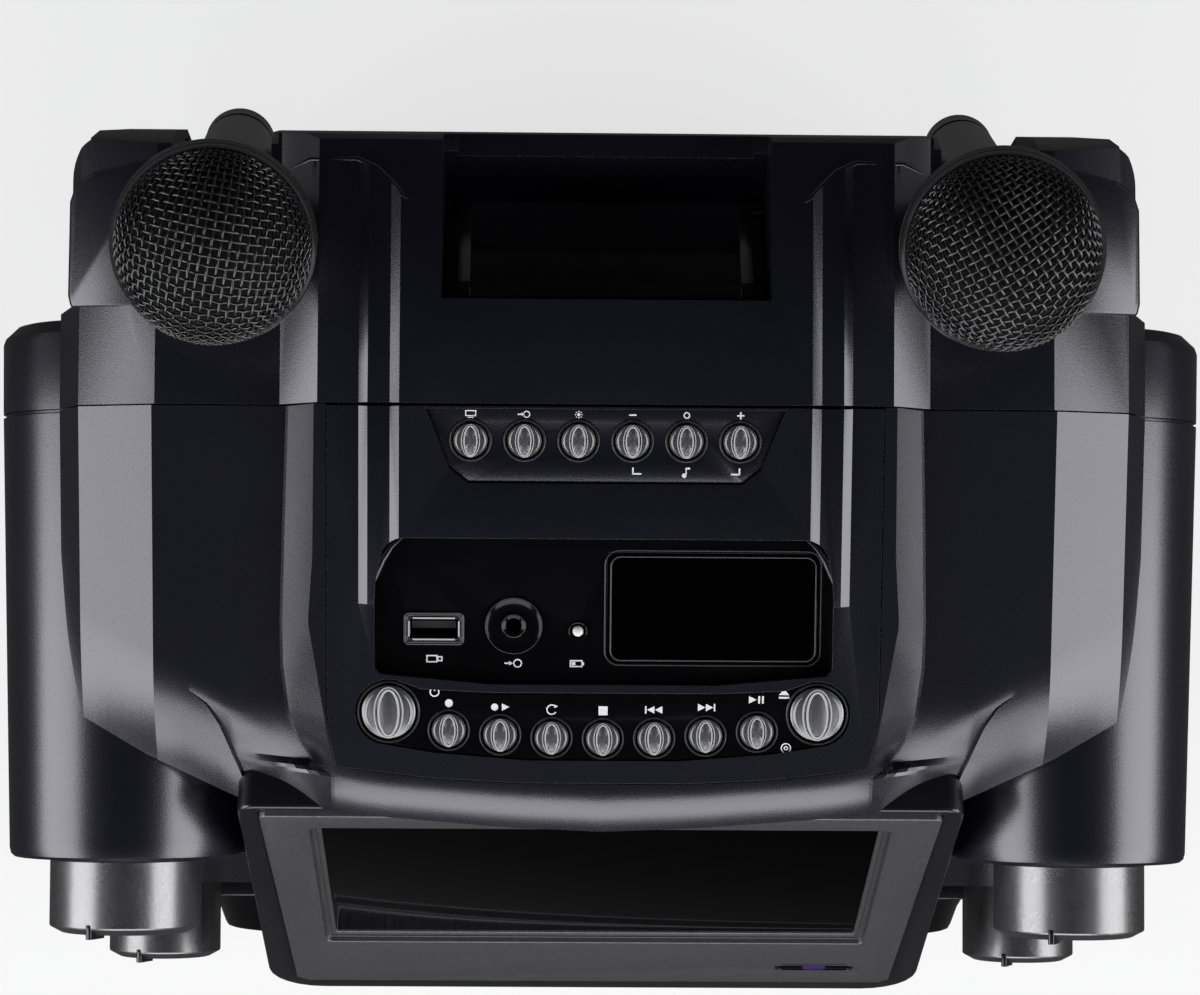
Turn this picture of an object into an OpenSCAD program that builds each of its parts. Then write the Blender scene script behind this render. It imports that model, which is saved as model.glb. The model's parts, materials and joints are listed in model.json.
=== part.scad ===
// Table-top karaoke machine with a disc tray, a leaning screen, a device cradle and two microphones.
// Millimetres, +Z up, front towards -Y. The origin is the centre of the footprint on the table.

/* [Cabinet] */
// Width of the cabinet
cab_w = 300; // [290:1:310]
// Distance of the cabinet's front wall ahead of the origin
cab_front = 98; // [96:1:100]
// Distance of the cabinet's rear wall behind the origin
cab_rear = 119; // [118:1:122]
// Height of the cabinet's top edge above the table
cab_top = 262; // [258:1:264]
// Wall of the cabinet
cab_wall = 3; // [2:0.5:4]
// Corner radius of the cabinet seen from above
cab_r = 14; // [8:1:18]
// Height of a foot
foot_h = 12; // [10:1:14]
// Radius of a foot
foot_r = 9; // [7:1:12]
// Thickness of the base plate
base_t = 3; // [2:0.5:4]

/* [Top covers] */
// Height of the rear deck above the table
deck_z = 340; // [338:1:342]
// Place of the seam between the two covers, behind the origin
seam_y = 35.5; // [34:0.5:37]
// Slope of the front cover in degrees
top_slope = 10; // [9:0.5:11]
// Half-width of the raised hood
hood_half = 75.5; // [74:0.5:77]
// Width of the bevel beside the hood
bevel_w = 10.5; // [8:0.5:12]
// Drop from the hood to the side flats
flat_drop = 9.5; // [8:0.5:10]
// Wall of the covers
wall = 2.5; // [2:0.25:3]
// Gap along a seam
seam_gap = 0.4; // [0.2:0.1:0.6]

/* [Side pods] */
// Distance of a pod's axis from the middle
pod_x = 132; // [130:1:134]
// Height of a pod's axis
pod_z = 270; // [268:1:272]
// Radius of a pod at its front rim
pod_r = 32; // [31:0.5:33]
// Radius of a pod near its rear end
pod_r_rear = 35.8; // [35:0.2:36.4]
// Distance of a pod's front rim ahead of the origin
pod_front = 86.5; // [85:0.5:88]
// Distance of a pod's rear end behind the origin
pod_rear = 61; // [60:0.5:61.5]

/* [Screen] */
// Lean of the screen from the vertical in degrees
lean = 24.1; // [23:0.1:25]
// Width of the screen window
win_w = 152; // [148:1:154]
// Height of the screen window
win_h = 85; // [82:1:87]
// Height of the window's top edge above the table
win_z = 298.4; // [297:0.2:300]
// Distance of the window's top edge ahead of the origin
win_y = 76; // [75:0.5:77]
// Width of the bezel at its top
bezel_w = 184; // [180:1:186]
// Bezel height above the window
bezel_up = 11.6; // [10:0.2:12]
// Bezel height below the window
bezel_down = 38; // [36:1:39]
// Depth of the screen housing
house_d = 22; // [18:1:24]

/* [Disc drive] */
// Height of the tray's underside
tray_z = 150; // [149:0.5:151]
// Width of the tray
tray_w = 129; // [128:0.5:130]
// Thickness of the tray
tray_t = 5; // [4:0.5:6]
// Radius of the disc well in the tray
disc_r = 60.7; // [60.5:0.1:61]
// Teeth of the tray pinion
pinion_n = 14; // [12:1:16]
// Tooth module of the rack and pinion
gear_m = 1.2; // [1:0.1:1.3]

/* [Speakers] */
// Distance of a speaker's axis from the middle
spk_x = 76; // [74:1:77]
// Height of a speaker's axis
spk_z = 82; // [80:1:84]
// Outer radius of a speaker ring
ring_r = 50; // [48:0.5:51]
// Projection of a speaker ring
ring_h = 13.5; // [12:0.5:15]
// Radius of the speaker basket
basket_r = 44; // [42:0.5:45]

/* [Microphones] */
// Distance of a microphone's collar from the middle
mic_x = 100.5; // [99:0.5:102]
// Distance of a collar behind the origin
mic_y = 74.3; // [73:0.1:76]
// Height of a collar above the table
mic_z = 365; // [362:1:368]
// Backward lean of a microphone's tail in degrees
mic_lean = 18; // [16:0.5:20]
// Outward lean of a microphone's tail in degrees
mic_side = 2.5; // [1:0.5:3]
// Radius of the collar
collar_r = 26.3; // [25:0.1:27]
// Radius of the handle under the head
grip_r = 12; // [11:0.1:12.4]
// Radius of the handle at its tail
tail_r = 10.3; // [9.5:0.1:11]
// Length from the collar to the tail
mic_len = 157; // [150:1:160]
// Clearance of the handle in its slot
slot_gap = 1.1; // [1:0.1:2]

/* [Controls] */
// Radius of an upper knob
knob_r = 21; // [20:0.5:22]
// Length of an upper knob
knob_l = 21; // [18:0.5:22]
// Radius of a lower knob
low_knob_r = 17; // [16:0.5:18]
// Length of a lower knob
low_knob_l = 25; // [22:0.5:26]
// Height of a lower knob's axis
low_knob_z = 166; // [164:1:170]
// Radius of a potentiometer shaft
shaft_r = 3; // [2.5:0.25:3.5]
// Radial running clearance of a turning part
run_gap = 0.05; // [0.02:0.01:0.09]
// Radius of a small button cap
key_r = 4.6; // [4.2:0.1:4.8]
// Pitch of the upper buttons
key_pitch = 14.15; // [13.5:0.05:14.5]
// Pitch of the lower buttons
low_pitch = 13.6; // [13:0.1:13.9]
// Radius of a large button cap
big_r = 7.3; // [7:0.1:7.6]
// Clearance round a button
key_gap = 0.3; // [0.2:0.05:0.4]
// Travel of a button
key_travel = 0.8; // [0.5:0.1:1]

/* [Device cradle] */
// Half-width of the cradle well
well_half = 43.3; // [42:0.1:44]
// Half-width of the cradle
cradle_half = 39.3; // [38:0.1:40]
// Height of the well's floor
well_z = 300; // [298:1:302]
// Distance of the well's front wall behind the origin
well_y = 63.2; // [62:0.2:64]

/* [Hidden] */
$fn = 64;
eps = 0.01;
cab_half = cab_w / 2;
flat_x = hood_half + bevel_w;
facet_x = 119;
facet_edge = [140, 17];
side_x = 147;
side_z = 32;
wing_nose = [-31.5, 268.9, 49];
cover_low = 290;
rib_x = 59.4;
rib_h = 1.3;
rib_end = 53;
lip_low = 311;
rear_slope = 12;
baffle_front = cab_front + 8;
baffle_half = 128;
baffle_top = 146;
house_half = bezel_w / 2 + 6;
house_up = bezel_up + 2.4;
house_down = win_h + bezel_down + 11;
panel_half = hood_half - 2.5;
panel_end = 101.5;
panel_corner = 96.7;
disc_y = -30;
tray_front_z = [144, 165];
pinion_x = tray_w / 2 - 18.5;
chassis_half = tray_w / 2 + 8.5;
chassis_y = [-94, 92];
chassis_z = [128, 174];
sheet = 2.5;
bridge_w = 32;
pinion_y = -84;
tray_len = 163;
pitch_r = gear_m * pinion_n / 2;
rack_x = pinion_x + pitch_r;
cradle_pivot = [91, 306];
low_arc_r = 396;
low_row = 88.9;
key_row = 9.6;
big_x = 56.7;
big_row = 82;
key_plate = -0.8;
transport_plate = -0.6;
control_plate = -3.5;
plate_t = 2.2;
board_z = -14;
usb_place = [-44.9, -60.1];
aux_place = [-23.8, -59.2];
lamp_place = [-6.8, -60.6];

body_c = [0.11, 0.105, 0.14];
gloss_c = [0.03, 0.03, 0.035];
metal_c = [0.45, 0.44, 0.46];

// Points along an arc
function arc(cx, cy, r, a0, a1, n = 8) =
    [for (i = [0:n]) let(a = a0 + (a1 - a0) * i / n) [cx + r * cos(a), cy + r * sin(a)]];

// Outline of a rectangle with round corners
function round_rect(x0, x1, y0, y1, r, n = 6) = concat(
    arc(x1 - r, y1 - r, r, 0, 90, n), arc(x0 + r, y1 - r, r, 90, 180, n),
    arc(x0 + r, y0 + r, r, 180, 270, n), arc(x1 - r, y0 + r, r, 270, 360, n));

// A right half outline joined to its mirror image
function both(half) = concat(half, [for (i = [len(half) - 1:-1:0]) [-half[i][0], half[i][1]]]);

// Extrusion of an X-Z outline between two places on Y
module along_y(y0, y1) translate([0, y1, 0]) rotate([90, 0, 0]) linear_extrude(y1 - y0) children();

// Extrusion of a Y-Z outline between two places on X
module along_x(x0, x1) translate([x0, 0, 0]) rotate([90, 0, 90]) linear_extrude(x1 - x0) children();

// Frame of the sloping front deck: y runs back along the slope from the seam, z is its normal
module deck_frame() translate([0, seam_y, deck_z]) rotate([top_slope, 0, 0]) children();

// Frame of the screen: origin at the window's top edge, y up the glass, z out of the glass
module screen_frame() translate([0, -win_y, win_z]) rotate([90 - lean, 0, 0]) children();

// Frame of a microphone: origin in the collar, z up its axis
module mic_frame(s) translate([s * mic_x, mic_y, mic_z]) rotate([mic_lean, -s * mic_side, 0]) children();

// Frame on the front of something: z runs out towards -Y
module facing(x, y, z) translate([x, y, z]) rotate([90, 0, 0]) children();

// Cross-section of the covers with an inset
function cover_section(g) = both([[rib_x - 5.3, -g], [rib_x - 2.9, rib_h - g], [rib_x + 2.9, rib_h - g],
    [rib_x + 5.3, -g], [hood_half - g * 0.4, -g], [flat_x - g * 0.4, -flat_drop - g],
    [facet_x - g * 0.2, -flat_drop - g], [facet_edge[0] - g * 0.6, -facet_edge[1] - g * 0.8],
    [side_x - g, -side_z - g * 0.4], [side_x - g, -100]]);

// Front cover's outline seen from above
function front_outline(g) = both([[side_x + 1 - g, seam_y + 20], [side_x + 1 - g, -40 + g * 0.5],
    [side_x - 1.7 - g * 0.8, -44.2 + g * 0.7], [122.4, -57.6 + g * 1.15], [99, -68.6 + g],
    [60, -73.2 + g], [25, -76 + g]]);

// Front cover's side outline with its rounded nose
function front_side(g, low) = concat([[seam_y - seam_gap / 2, low], [seam_y - seam_gap / 2, deck_z + 5],
    [-20, deck_z + 5], [-50, deck_z - 8]],
    arc(-58, 306.5, 19.5 - g, 80, 180, 8), [[-77.5 + g, low]]);

// Rear cover's outline seen from above
function rear_outline(g) = both(concat([[side_x + 1 - g, seam_y - 20], [side_x + 1 - g, pod_rear],
    [side_x - 4 - g, pod_rear + 1.5]], arc(side_x - 15, cab_rear - 22, 11 - g, 0, 60, 6),
    [[side_x - 18, cab_rear + 20]]));

// Rear cover's side outline
function rear_side(g, low) = [[seam_y + seam_gap / 2, low], [seam_y + seam_gap / 2, deck_z + 5],
    [cab_rear - rear_slope - 3 - g, deck_z + 5], [cab_rear - rear_slope - 3 - g, deck_z + 2],
    [cab_rear - rear_slope - g, deck_z - 4], [cab_rear - g, cab_top + seam_gap], [cab_rear - g, low]];

// Solid of a pod, grown by g
module pod_body(s, g = 0) translate([s * pod_x, 0, pod_z]) rotate([90, 0, 0]) rotate_extrude()
    polygon([[0, -pod_rear - g], [pod_r_rear - 5 + g, -pod_rear - g], [pod_r_rear + g, -pod_rear + 5],
        [pod_r + g, pod_front - 1.5], [pod_r - 1.5 + g, pod_front + g], [0, pod_front + g]]);

// Solid of the screen housing, grown by g
module house_body(g = 0, z0 = 0, z1 = 1) screen_frame() translate([0, 0, z0 - g])
    linear_extrude(z1 - z0 + 2 * g) polygon(concat(arc(house_half - 5, house_up - 5, 5 + g, 0, 90, 5),
        arc(5 - house_half, house_up - 5, 5 + g, 90, 180, 5),
        arc(16 - house_half, 16 - house_down, 16 + g, 180, 270, 6),
        arc(house_half - 16, 16 - house_down, 16 + g, 270, 360, 6)));

// Slot that a microphone's handle stands in, open towards the rear
module mic_slot(s, g, low) mic_frame(s) {
    translate([0, 0, low]) cylinder(r = grip_r + slot_gap + g, h = 40 - low);
    translate([-grip_r - slot_gap - g, 0, low]) cube([2 * (grip_r + slot_gap + g), 70, 40 - low]);
}

// Place of the centre panel in the front cover
module panel_region(g) deck_frame() translate([0, 0, -9]) linear_extrude(14)
    polygon(both([[panel_half - g, -seam_gap - g - 0.2], [panel_half - g, -82],
        [panel_half - 3 - g, -panel_corner + g * 0.5], [45, -panel_corner - 3 + g],
        [22, -panel_end + 0.6 + g]]));

// Front cover's outer or inner form
module front_form(g, low) difference() {
    intersection() {
        deck_frame() along_y(-150, 30) polygon(cover_section(g));
        translate([0, 0, 200]) linear_extrude(200) polygon(front_outline(g));
        along_x(-160, 160) polygon(front_side(g, low));
    }
    for (s = [-1, 1]) translate([s * (flat_x + 37 - g), 0, 0]) along_x(-36, 36) polygon(concat(
        arc(wing_nose[0], wing_nose[1], wing_nose[2] - g, 98, 135, 7),
        [[-90, wing_nose[1] - 10 - 1.4 * g], [-90, deck_z + 10], [-38, deck_z + 10]]));
}

// Rear cover's outer or inner form
module rear_form(g, low) difference() {
    intersection() {
        along_y(seam_y - 10, cab_rear + 10) translate([0, deck_z]) polygon(cover_section(g));
        translate([0, 0, 200]) linear_extrude(200) polygon(rear_outline(g));
        along_x(-160, 160) polygon(rear_side(g, low));
    }
    for (s = [-1, 1]) translate([s * (flat_x + 37 - g), 0, 0]) along_x(-36, 36)
        polygon([[cab_rear - rear_slope - 5.5 - g, deck_z], [cab_rear + 10, deck_z],
            [cab_rear + 10, deck_z - 30], [cab_rear - rear_slope + 4.9 - g, deck_z - 30],
            [cab_rear - rear_slope - 2.3 - g, deck_z - 9]]);
}

// Keeps the rear cover above the pods and above the cabinet
module rear_limits() {
    for (s = [-1, 1]) pod_body(s, seam_gap);
    translate([-200, seam_y - 5, 200]) cube([400, pod_rear + 0.6 - seam_y + 5, cover_low - 200]);
}

// Inside of the cradle well
module well_cut() along_x(-well_half, well_half) polygon([[well_y, deck_z + 10], [well_y, well_z],
    [94, well_z], [104.5, deck_z - 16.8], [cab_rear + 10, deck_z - 16.8], [cab_rear + 10, deck_z + 10]]);

module rear_top_cover() color(body_c) difference() {
    union() {
        difference() {
            rear_form(0, cab_top + seam_gap);
            rear_form(wall, cab_top - 20);
        }
        intersection() {
            union() {
                translate([-well_half - wall, well_y - wall, well_z - wall])
                    cube([2 * (well_half + wall), 60, 60]);
                for (s = [-1, 1]) mic_slot(s, wall, -100);
            }
            rear_form(0, cab_top + seam_gap);
        }
    }
    well_cut();
    for (s = [-1, 1]) mic_slot(s, 0, -170);
    rear_limits();
    translate([0, cradle_pivot[0], cradle_pivot[1]]) rotate([0, 90, 0])
        cylinder(r = 2 + run_gap, h = 2 * (well_half + 1.8), center = true);
}

module front_top_cover() color(body_c) difference() {
    front_form(0, cover_low);
    front_form(wall, cover_low - 10);
    panel_region(-0.25);
    for (s = [-1, 1]) pod_body(s, seam_gap);
    house_body(0.5, -house_d - 8, 3.2);
    translate([-flat_x, -95, 270]) cube([2 * flat_x, 55, lip_low - 270]);
}

// Outline of the upper button panel
function key_outline(g) = both([[47.3 - g, -1.2 - g], [44 - g, -9], [41 - g * 0.9, -17],
    [36 - g * 0.5, -20.9 + g]]);

// Outline of the recessed control panel
function control_outline(g) = both(concat(arc(53.2, -41.3, 5.8 - g, 90, 15, 5), [[60.2 - g, -47],
    [60.5 - g, -53], [60.5 - g, -70 + g * 0.5], [59 - g, -71.8 + g], [30, -74.4 + g]]));

// Outline of the lower button band
function band_outline(g) = both(concat([[30, -76.6 - g], [48, -75.8 - g]],
    arc(big_x, -big_row, big_r + 1.6 - g, 100, -70, 10), [[45, -92.8 + g], [20, -94.8 + g]]));

module center_panel() color(body_c) difference() {
    union() {
        intersection() {
            difference() {
                front_form(0, cover_low);
                front_form(wall, cover_low - 10);
            }
            panel_region(0);
        }
        deck_frame() translate([0, 0, control_plate - plate_t]) linear_extrude(-control_plate + plate_t - 1)
            polygon(control_outline(-1.6));
    }
    deck_frame() {
        translate([0, 0, -10]) linear_extrude(20) polygon(key_outline(0));
        translate([0, 0, -10]) linear_extrude(20) polygon(control_outline(0));
        translate([0, 0, -10]) linear_extrude(20) polygon(band_outline(0));
        translate([-hood_half, -150, 0]) cube([2 * hood_half, 150 - rib_end, 5]);
    }
}

// Places of the lower buttons along the arc, as x and distance down the slope
function low_place(i) = let(x = (i - 4) * low_pitch) [x, low_row - x * x / (2 * low_arc_r)];

module key_panel() color(gloss_c) deck_frame() difference() {
    translate([0, 0, key_plate - plate_t]) linear_extrude(plate_t) polygon(key_outline(0.15));
    for (i = [1:6]) translate([(i - 3.5) * key_pitch, -key_row, -10]) cylinder(r = key_r + key_gap, h = 20);
}

module control_panel() color(gloss_c) deck_frame() difference() {
    translate([0, 0, control_plate - plate_t]) linear_extrude(plate_t) polygon(control_outline(0.15));
    translate([usb_place[0] - 7.1, usb_place[1] - 3.3, -10]) cube([14.2, 6.6, 20]);
    translate([aux_place[0], aux_place[1], -10]) cylinder(r = 7.6, h = 20);
    translate([lamp_place[0], lamp_place[1], -10]) cylinder(r = 1.6, h = 20);
    translate([1, -68.9, control_plate - 0.9]) cube([55.8, 29.3, 5]);
}

module display_window() color(gloss_c) deck_frame() translate([0, 0, control_plate - 0.85])
    linear_extrude(1.1) polygon(round_rect(1.2, 56.6, -68.7, -39.8, 3));

module transport_panel() color(gloss_c) deck_frame() difference() {
    translate([0, 0, transport_plate - plate_t]) linear_extrude(plate_t) polygon(band_outline(0.15));
    for (i = [1:7]) translate([low_place(i)[0], -low_place(i)[1], -10]) cylinder(r = key_r + key_gap, h = 20);
    for (s = [-1, 1]) translate([s * big_x, -big_row, -10]) cylinder(r = big_r + key_gap, h = 20);
}

// A push button: cap with a raised lens, flange and stem
module button(x, row, r, plate) color(metal_c) deck_frame() translate([x, -row, 0]) {
    translate([0, 0, plate - plate_t - 0.6]) cylinder(r = r, h = plate_t + 1.6);
    translate([0, 0, plate + 0.9]) linear_extrude(0.7)
        polygon([for (a = [0:15:345]) [r * 0.32 * cos(a), r * 0.84 * sin(a)]]);
    translate([0, 0, plate - plate_t - 1.5]) cylinder(r = r + 0.7, h = 1.2);
    translate([0, 0, board_z + 4.6 + key_travel + 0.2]) cylinder(r = 1.6,
        h = plate - plate_t - 1.4 - board_z - 4.6 - key_travel - 0.2);
}

module key_button(i) button((i - 3.5) * key_pitch, key_row, key_r, key_plate);
module transport_button(i) button(low_place(i)[0], low_place(i)[1], key_r, transport_plate);
module standby_button() button(-big_x, big_row, big_r, transport_plate);
module eject_button() button(big_x, big_row, big_r, transport_plate);

// One board under the deck with a switch below each stem, a lamp and its spacers
module button_board() color([0.05, 0.25, 0.12]) deck_frame() {
    difference() {
        translate([-64, -95, board_z]) cube([128, 93, 1.6]);
        translate([-54, -69, board_z - 1]) cube([41, 18, 4]);
    }
    for (i = [1:6]) translate([(i - 3.5) * key_pitch - 3, -key_row - 3, board_z + 1.6]) cube([6, 6, 3]);
    for (i = [1:7]) translate([low_place(i)[0] - 3, -low_place(i)[1] - 3, board_z + 1.6]) cube([6, 6, 3]);
    for (s = [-1, 1]) translate([s * big_x - 3, -big_row - 3, board_z + 1.6]) cube([6, 6, 3]);
    translate([lamp_place[0], lamp_place[1], board_z + 1.6])
        cylinder(r = 1.45, h = control_plate - 0.1 - board_z - 1.6);
}

module usb_port() color(metal_c) deck_frame() translate([usb_place[0], usb_place[1], control_plate - 12]) {
    difference() {
        translate([-6.9, -3.1, 0]) cube([13.8, 6.2, 12.3]);
        translate([-6.4, -2.6, 1]) cube([12.8, 5.2, 12]);
    }
    translate([-5.8, -0.1, 0.5]) cube([11.6, 1.9, 10]);
}

module aux_jack() color(gloss_c) deck_frame()
    translate([aux_place[0], aux_place[1], control_plate - 12]) difference() {
    union() {
        cylinder(r = 7.45, h = 12.6);
        cylinder(r = 5.6, h = 10);
    }
    translate([0, 0, 1]) cylinder(r = 1.77, h = 20);
    translate([0, 0, 11.6]) cylinder(r = 3.2, h = 5);
}

// Outer form of the cabinet with an inset
module cabinet_form(g) intersection() {
    translate([0, 0, -20]) linear_extrude(400) polygon(round_rect(-cab_half + g, cab_half - g,
        -cab_front + g, cab_rear - g, cab_r - g));
    along_x(-200, 200) polygon([[-cab_front + g, -10], [-cab_front + g, 205], [-cab_front + 12 + g, 234],
        [-cab_front + 12 + g, 300], [cab_rear - g, 300], [cab_rear - g, -10]]);
}

module cabinet() color(body_c) difference() {
    union() {
        difference() {
            cabinet_form(0);
            cabinet_form(cab_wall);
        }
        intersection() {
            cabinet_form(0);
            for (s = [-1, 1]) mic_slot(s, wall, -mic_len - 5);
        }
        difference() {
            cabinet_form(0);
            cabinet_form(cab_half - side_x + 11);
            translate([-200, -200, 0]) cube([400, 400, cab_top - cab_wall]);
            translate([-200, -200, 0]) cube([400, 200 + seam_y, 400]);
        }
    }
    for (s = [-1, 1]) {
        mic_slot(s, 0, -mic_len - 2.5);
        pod_body(s, seam_gap);
        facing(s * pod_x, -cab_front + 10, low_knob_z) cylinder(r = shaft_r + 0.6, h = 20);
        facing(s * (pod_x - 6.6), -cab_front + 3.5, low_knob_z) cylinder(r = 1, h = 2.7);
    }
    translate([-200, -200, cab_top]) cube([400, 400, 200]);
    translate([-200, -200, -30]) cube([400, 400, 30 + foot_h]);
    translate([-baffle_half + 4, -cab_front - 5, foot_h + 12])
        cube([2 * baffle_half - 8, 15, baffle_top - foot_h - 18]);
    translate([-house_half - 1, -cab_front - 5, baffle_top - 10]) cube([2 * house_half + 2, 30, 200]);
    translate([-80, cab_rear - 10, 40]) cube([160, 20, 130]);
}

module base_plate() color(body_c) difference() {
    translate([0, 0, foot_h]) linear_extrude(base_t) polygon(round_rect(0.2 + cab_wall - cab_half,
        cab_half - cab_wall - 0.2, 0.2 + cab_wall - cab_front, cab_rear - cab_wall - 0.2, cab_r - cab_wall));
    for (x = [-40:10:40]) translate([x - 2, -30, foot_h - 1]) cube([4, 60, 5]);
}

module feet() color([0.06, 0.06, 0.06]) for (x = [-1, 1], y = [-cab_front + 24, cab_rear - 24])
    translate([x * (cab_half - 26), y, 0]) difference() {
        cylinder(r1 = foot_r - 1, r2 = foot_r, h = foot_h - eps);
        translate([0, 0, -1]) cylinder(r = 2.6, h = 5);
    }

// Plate on the back with two microphone sockets, two signal sockets and a supply inlet
module rear_panel() color(gloss_c) difference() {
    union() {
        along_y(cab_rear + 0.05, cab_rear + 2.5) polygon(round_rect(-84, 84, 36, 174, 5));
        for (x = [-50, -25, 10, 30]) facing(x, cab_rear + 4, 60) cylinder(r = 6, h = 16);
    }
    for (x = [-50, -25]) facing(x, cab_rear + 5, 60) cylinder(r = 3.2, h = 14);
    for (x = [10, 30]) facing(x, cab_rear + 5, 60) cylinder(r = 2.4, h = 14);
    translate([54, cab_rear + 1, 54]) cube([14, 6, 12]);
    for (x = [-60:12:60], z = [110:12:158]) translate([x - 4, cab_rear - 1, z]) cube([8, 5, 3]);
}

module screws() color(metal_c) {
    for (x = [-78, 78], z = [42, 168]) translate([x, cab_rear + 2.55, z]) rotate([-90, 0, 0]) difference() {
        cylinder(r = 3, h = 1.6);
        for (a = [0, 90]) rotate([0, 0, a]) translate([-1.8, -0.35, 0.7]) cube([3.6, 0.7, 2]);
    }
    for (x = [-60, 60], y = [-60, 90]) translate([x, y, foot_h - 1.6]) cylinder(r = 3, h = 1.55);
}

// A hollow side pod with a bore for its shaft and a seam groove
module pod(s) color(body_c) difference() {
    pod_body(s);
    difference() {
        pod_body(s, -wall);
        translate([-200, -pod_front - 5, 200]) cube([400, 5 + cab_wall, 150]);
    }
    facing(s * pod_x, -pod_front + 10, pod_z) cylinder(r = shaft_r + 0.6, h = 20);
    facing(s * (pod_x - 6.6), -pod_front + 3.5, pod_z) cylinder(r = 1, h = 2.7);
    translate([s * pod_x, seam_y + 0.3, pod_z]) rotate([90, 0, 0]) difference() {
        cylinder(r = pod_r_rear + 5, h = 0.6);
        cylinder(r = pod_r_rear - 1.3, h = 0.6);
    }
    translate([s * pod_x, 0, pod_z - 50]) cube([pod_r, 60, 60], center = true);
}

// Body and threaded shaft of one potentiometer, pointing out of the front
module potentiometer(x, face, z, len) facing(x, -face + cab_wall + 0.2, z) {
    translate([0, 0, -9]) cylinder(r = 7.5, h = 8.4);
    translate([0, 0, -0.3]) cylinder(r = shaft_r, h = cab_wall + 0.2 + len);
    translate([6.6 * sign(-x), 0, -1]) cylinder(r = 0.8, h = 2.6);
}

module knob_shafts() color(metal_c) for (s = [-1, 1]) {
    potentiometer(s * pod_x, pod_front, pod_z, knob_l - 5);
    potentiometer(s * pod_x, cab_front, low_knob_z, low_knob_l - 6);
}

// A turned knob with a bevelled face, a hollow back and a pointer rib
module knob(s, face, z, r, len) color(metal_c) facing(s * pod_x, -face, z) difference() {
    union() {
        rotate_extrude() polygon([[0, 2], [shaft_r + 3, 2], [shaft_r + 3, 6], [r - 2.4, 6], [r - 2.4, 0.5],
            [r, 0.5], [r, len - 2], [r - 3.5, len], [0, len]]);
        rotate([0, 0, 22]) translate([-0.9, r - 8, len - 3]) cube([1.8, 8.2, 4]);
    }
    translate([0, 0, -1]) cylinder(r = shaft_r + run_gap, h = len - 3);
}

module left_upper_knob() knob(-1, pod_front, pod_z, knob_r, knob_l);
module right_upper_knob() knob(1, pod_front, pod_z, knob_r, knob_l);
module left_lower_knob() knob(-1, cab_front, low_knob_z, low_knob_r, low_knob_l);
module right_lower_knob() knob(1, cab_front, low_knob_z, low_knob_r, low_knob_l);

// Front panel with the speaker holes and the tray slot
module front_baffle() color(body_c) difference() {
    union() {
        along_y(-baffle_front, -cab_front - 0.2)
            polygon(round_rect(-baffle_half, baffle_half, foot_h + 4, baffle_top, 10));
        along_y(-baffle_front, -cab_front - 0.2) polygon(round_rect(-90, 90, foot_h + 20, 173.5, 6));
    }
    along_y(-baffle_front + wall, -cab_front + 5) polygon(round_rect(-baffle_half + wall, baffle_half - wall,
        foot_h + 4 + wall, baffle_top - wall, 8));
    along_y(-baffle_front + wall, -cab_front + 5)
        polygon(round_rect(-90 + wall, 90 - wall, foot_h + 24, 171, 4));
    along_y(-baffle_front - 5, -cab_front + 5) polygon(round_rect(-tray_w / 2 - 4.2, tray_w / 2 + 4.2,
        tray_front_z[0] - 0.5, tray_front_z[1] + 0.5, 2));
    for (s = [-1, 1]) facing(s * spk_x, -cab_front + 10, spk_z) cylinder(r = ring_r - 12, h = 30);
}

// Basket, cone and magnet of one speaker
module speaker(s) color([0.12, 0.12, 0.13]) facing(s * spk_x, -baffle_front + wall + 0.1, spk_z)
    rotate([180, 0, 0]) rotate_extrude() polygon([[0, 9], [8, 9], [11, 15], [ring_r - 13.5, 3.5],
        [ring_r - 13.5, 0], [basket_r, 0], [basket_r, 3], [ring_r - 11, 5], [16, 24], [22, 24],
        [22, 38], [0, 38]]);

module speaker_rings() color(gloss_c) for (s = [-1, 1])
    facing(s * spk_x, -baffle_front - 0.05, spk_z) rotate_extrude()
        polygon([[ring_r - 11.8, 0], [ring_r, 0], [ring_r, 1.5], [ring_r - 6.5, ring_h],
            [ring_r - 9, ring_h], [ring_r - 9, ring_h - 2.6], [ring_r - 11.8, ring_h - 6]]);

module speaker_grilles() color([0.2, 0.2, 0.2]) for (s = [-1, 1])
    facing(s * spk_x, -baffle_front - 0.05, spk_z) rotate_extrude()
        polygon(concat([[0, ring_h + 2.7], [ring_r - 9.4, ring_h - 2.4], [ring_r - 9.3, ring_h - 0.4]],
            [for (i = [6:-1:0]) [(ring_r - 10.4) * i / 7, ring_h + 4.2 - 4.2 * (i / 7) * (i / 7)]]));

module screen_housing() color(gloss_c) difference() {
    house_body(0, -house_d, 1);
    screen_frame() {
        translate([0, 0, -1.9]) linear_extrude(10) polygon(bezel_outline(-0.2));
        translate([0, 0, -house_d + wall]) linear_extrude(40)
            polygon(round_rect(-bezel_w / 2 + 4, bezel_w / 2 - 4, -house_down + 14, bezel_up - 2.5, 4));
    }
}

// Outline of the bezel, a little narrower at the foot
function bezel_outline(g) = both([
    [bezel_w / 2 - 1.5 - g, bezel_up - g], [bezel_w / 2 - g, bezel_up - 1.5 - g],
    [bezel_w / 2 - 2.5 - g, 3 - win_h - bezel_down + g], [bezel_w / 2 - 5.5 - g, -win_h - bezel_down + g]]);

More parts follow.
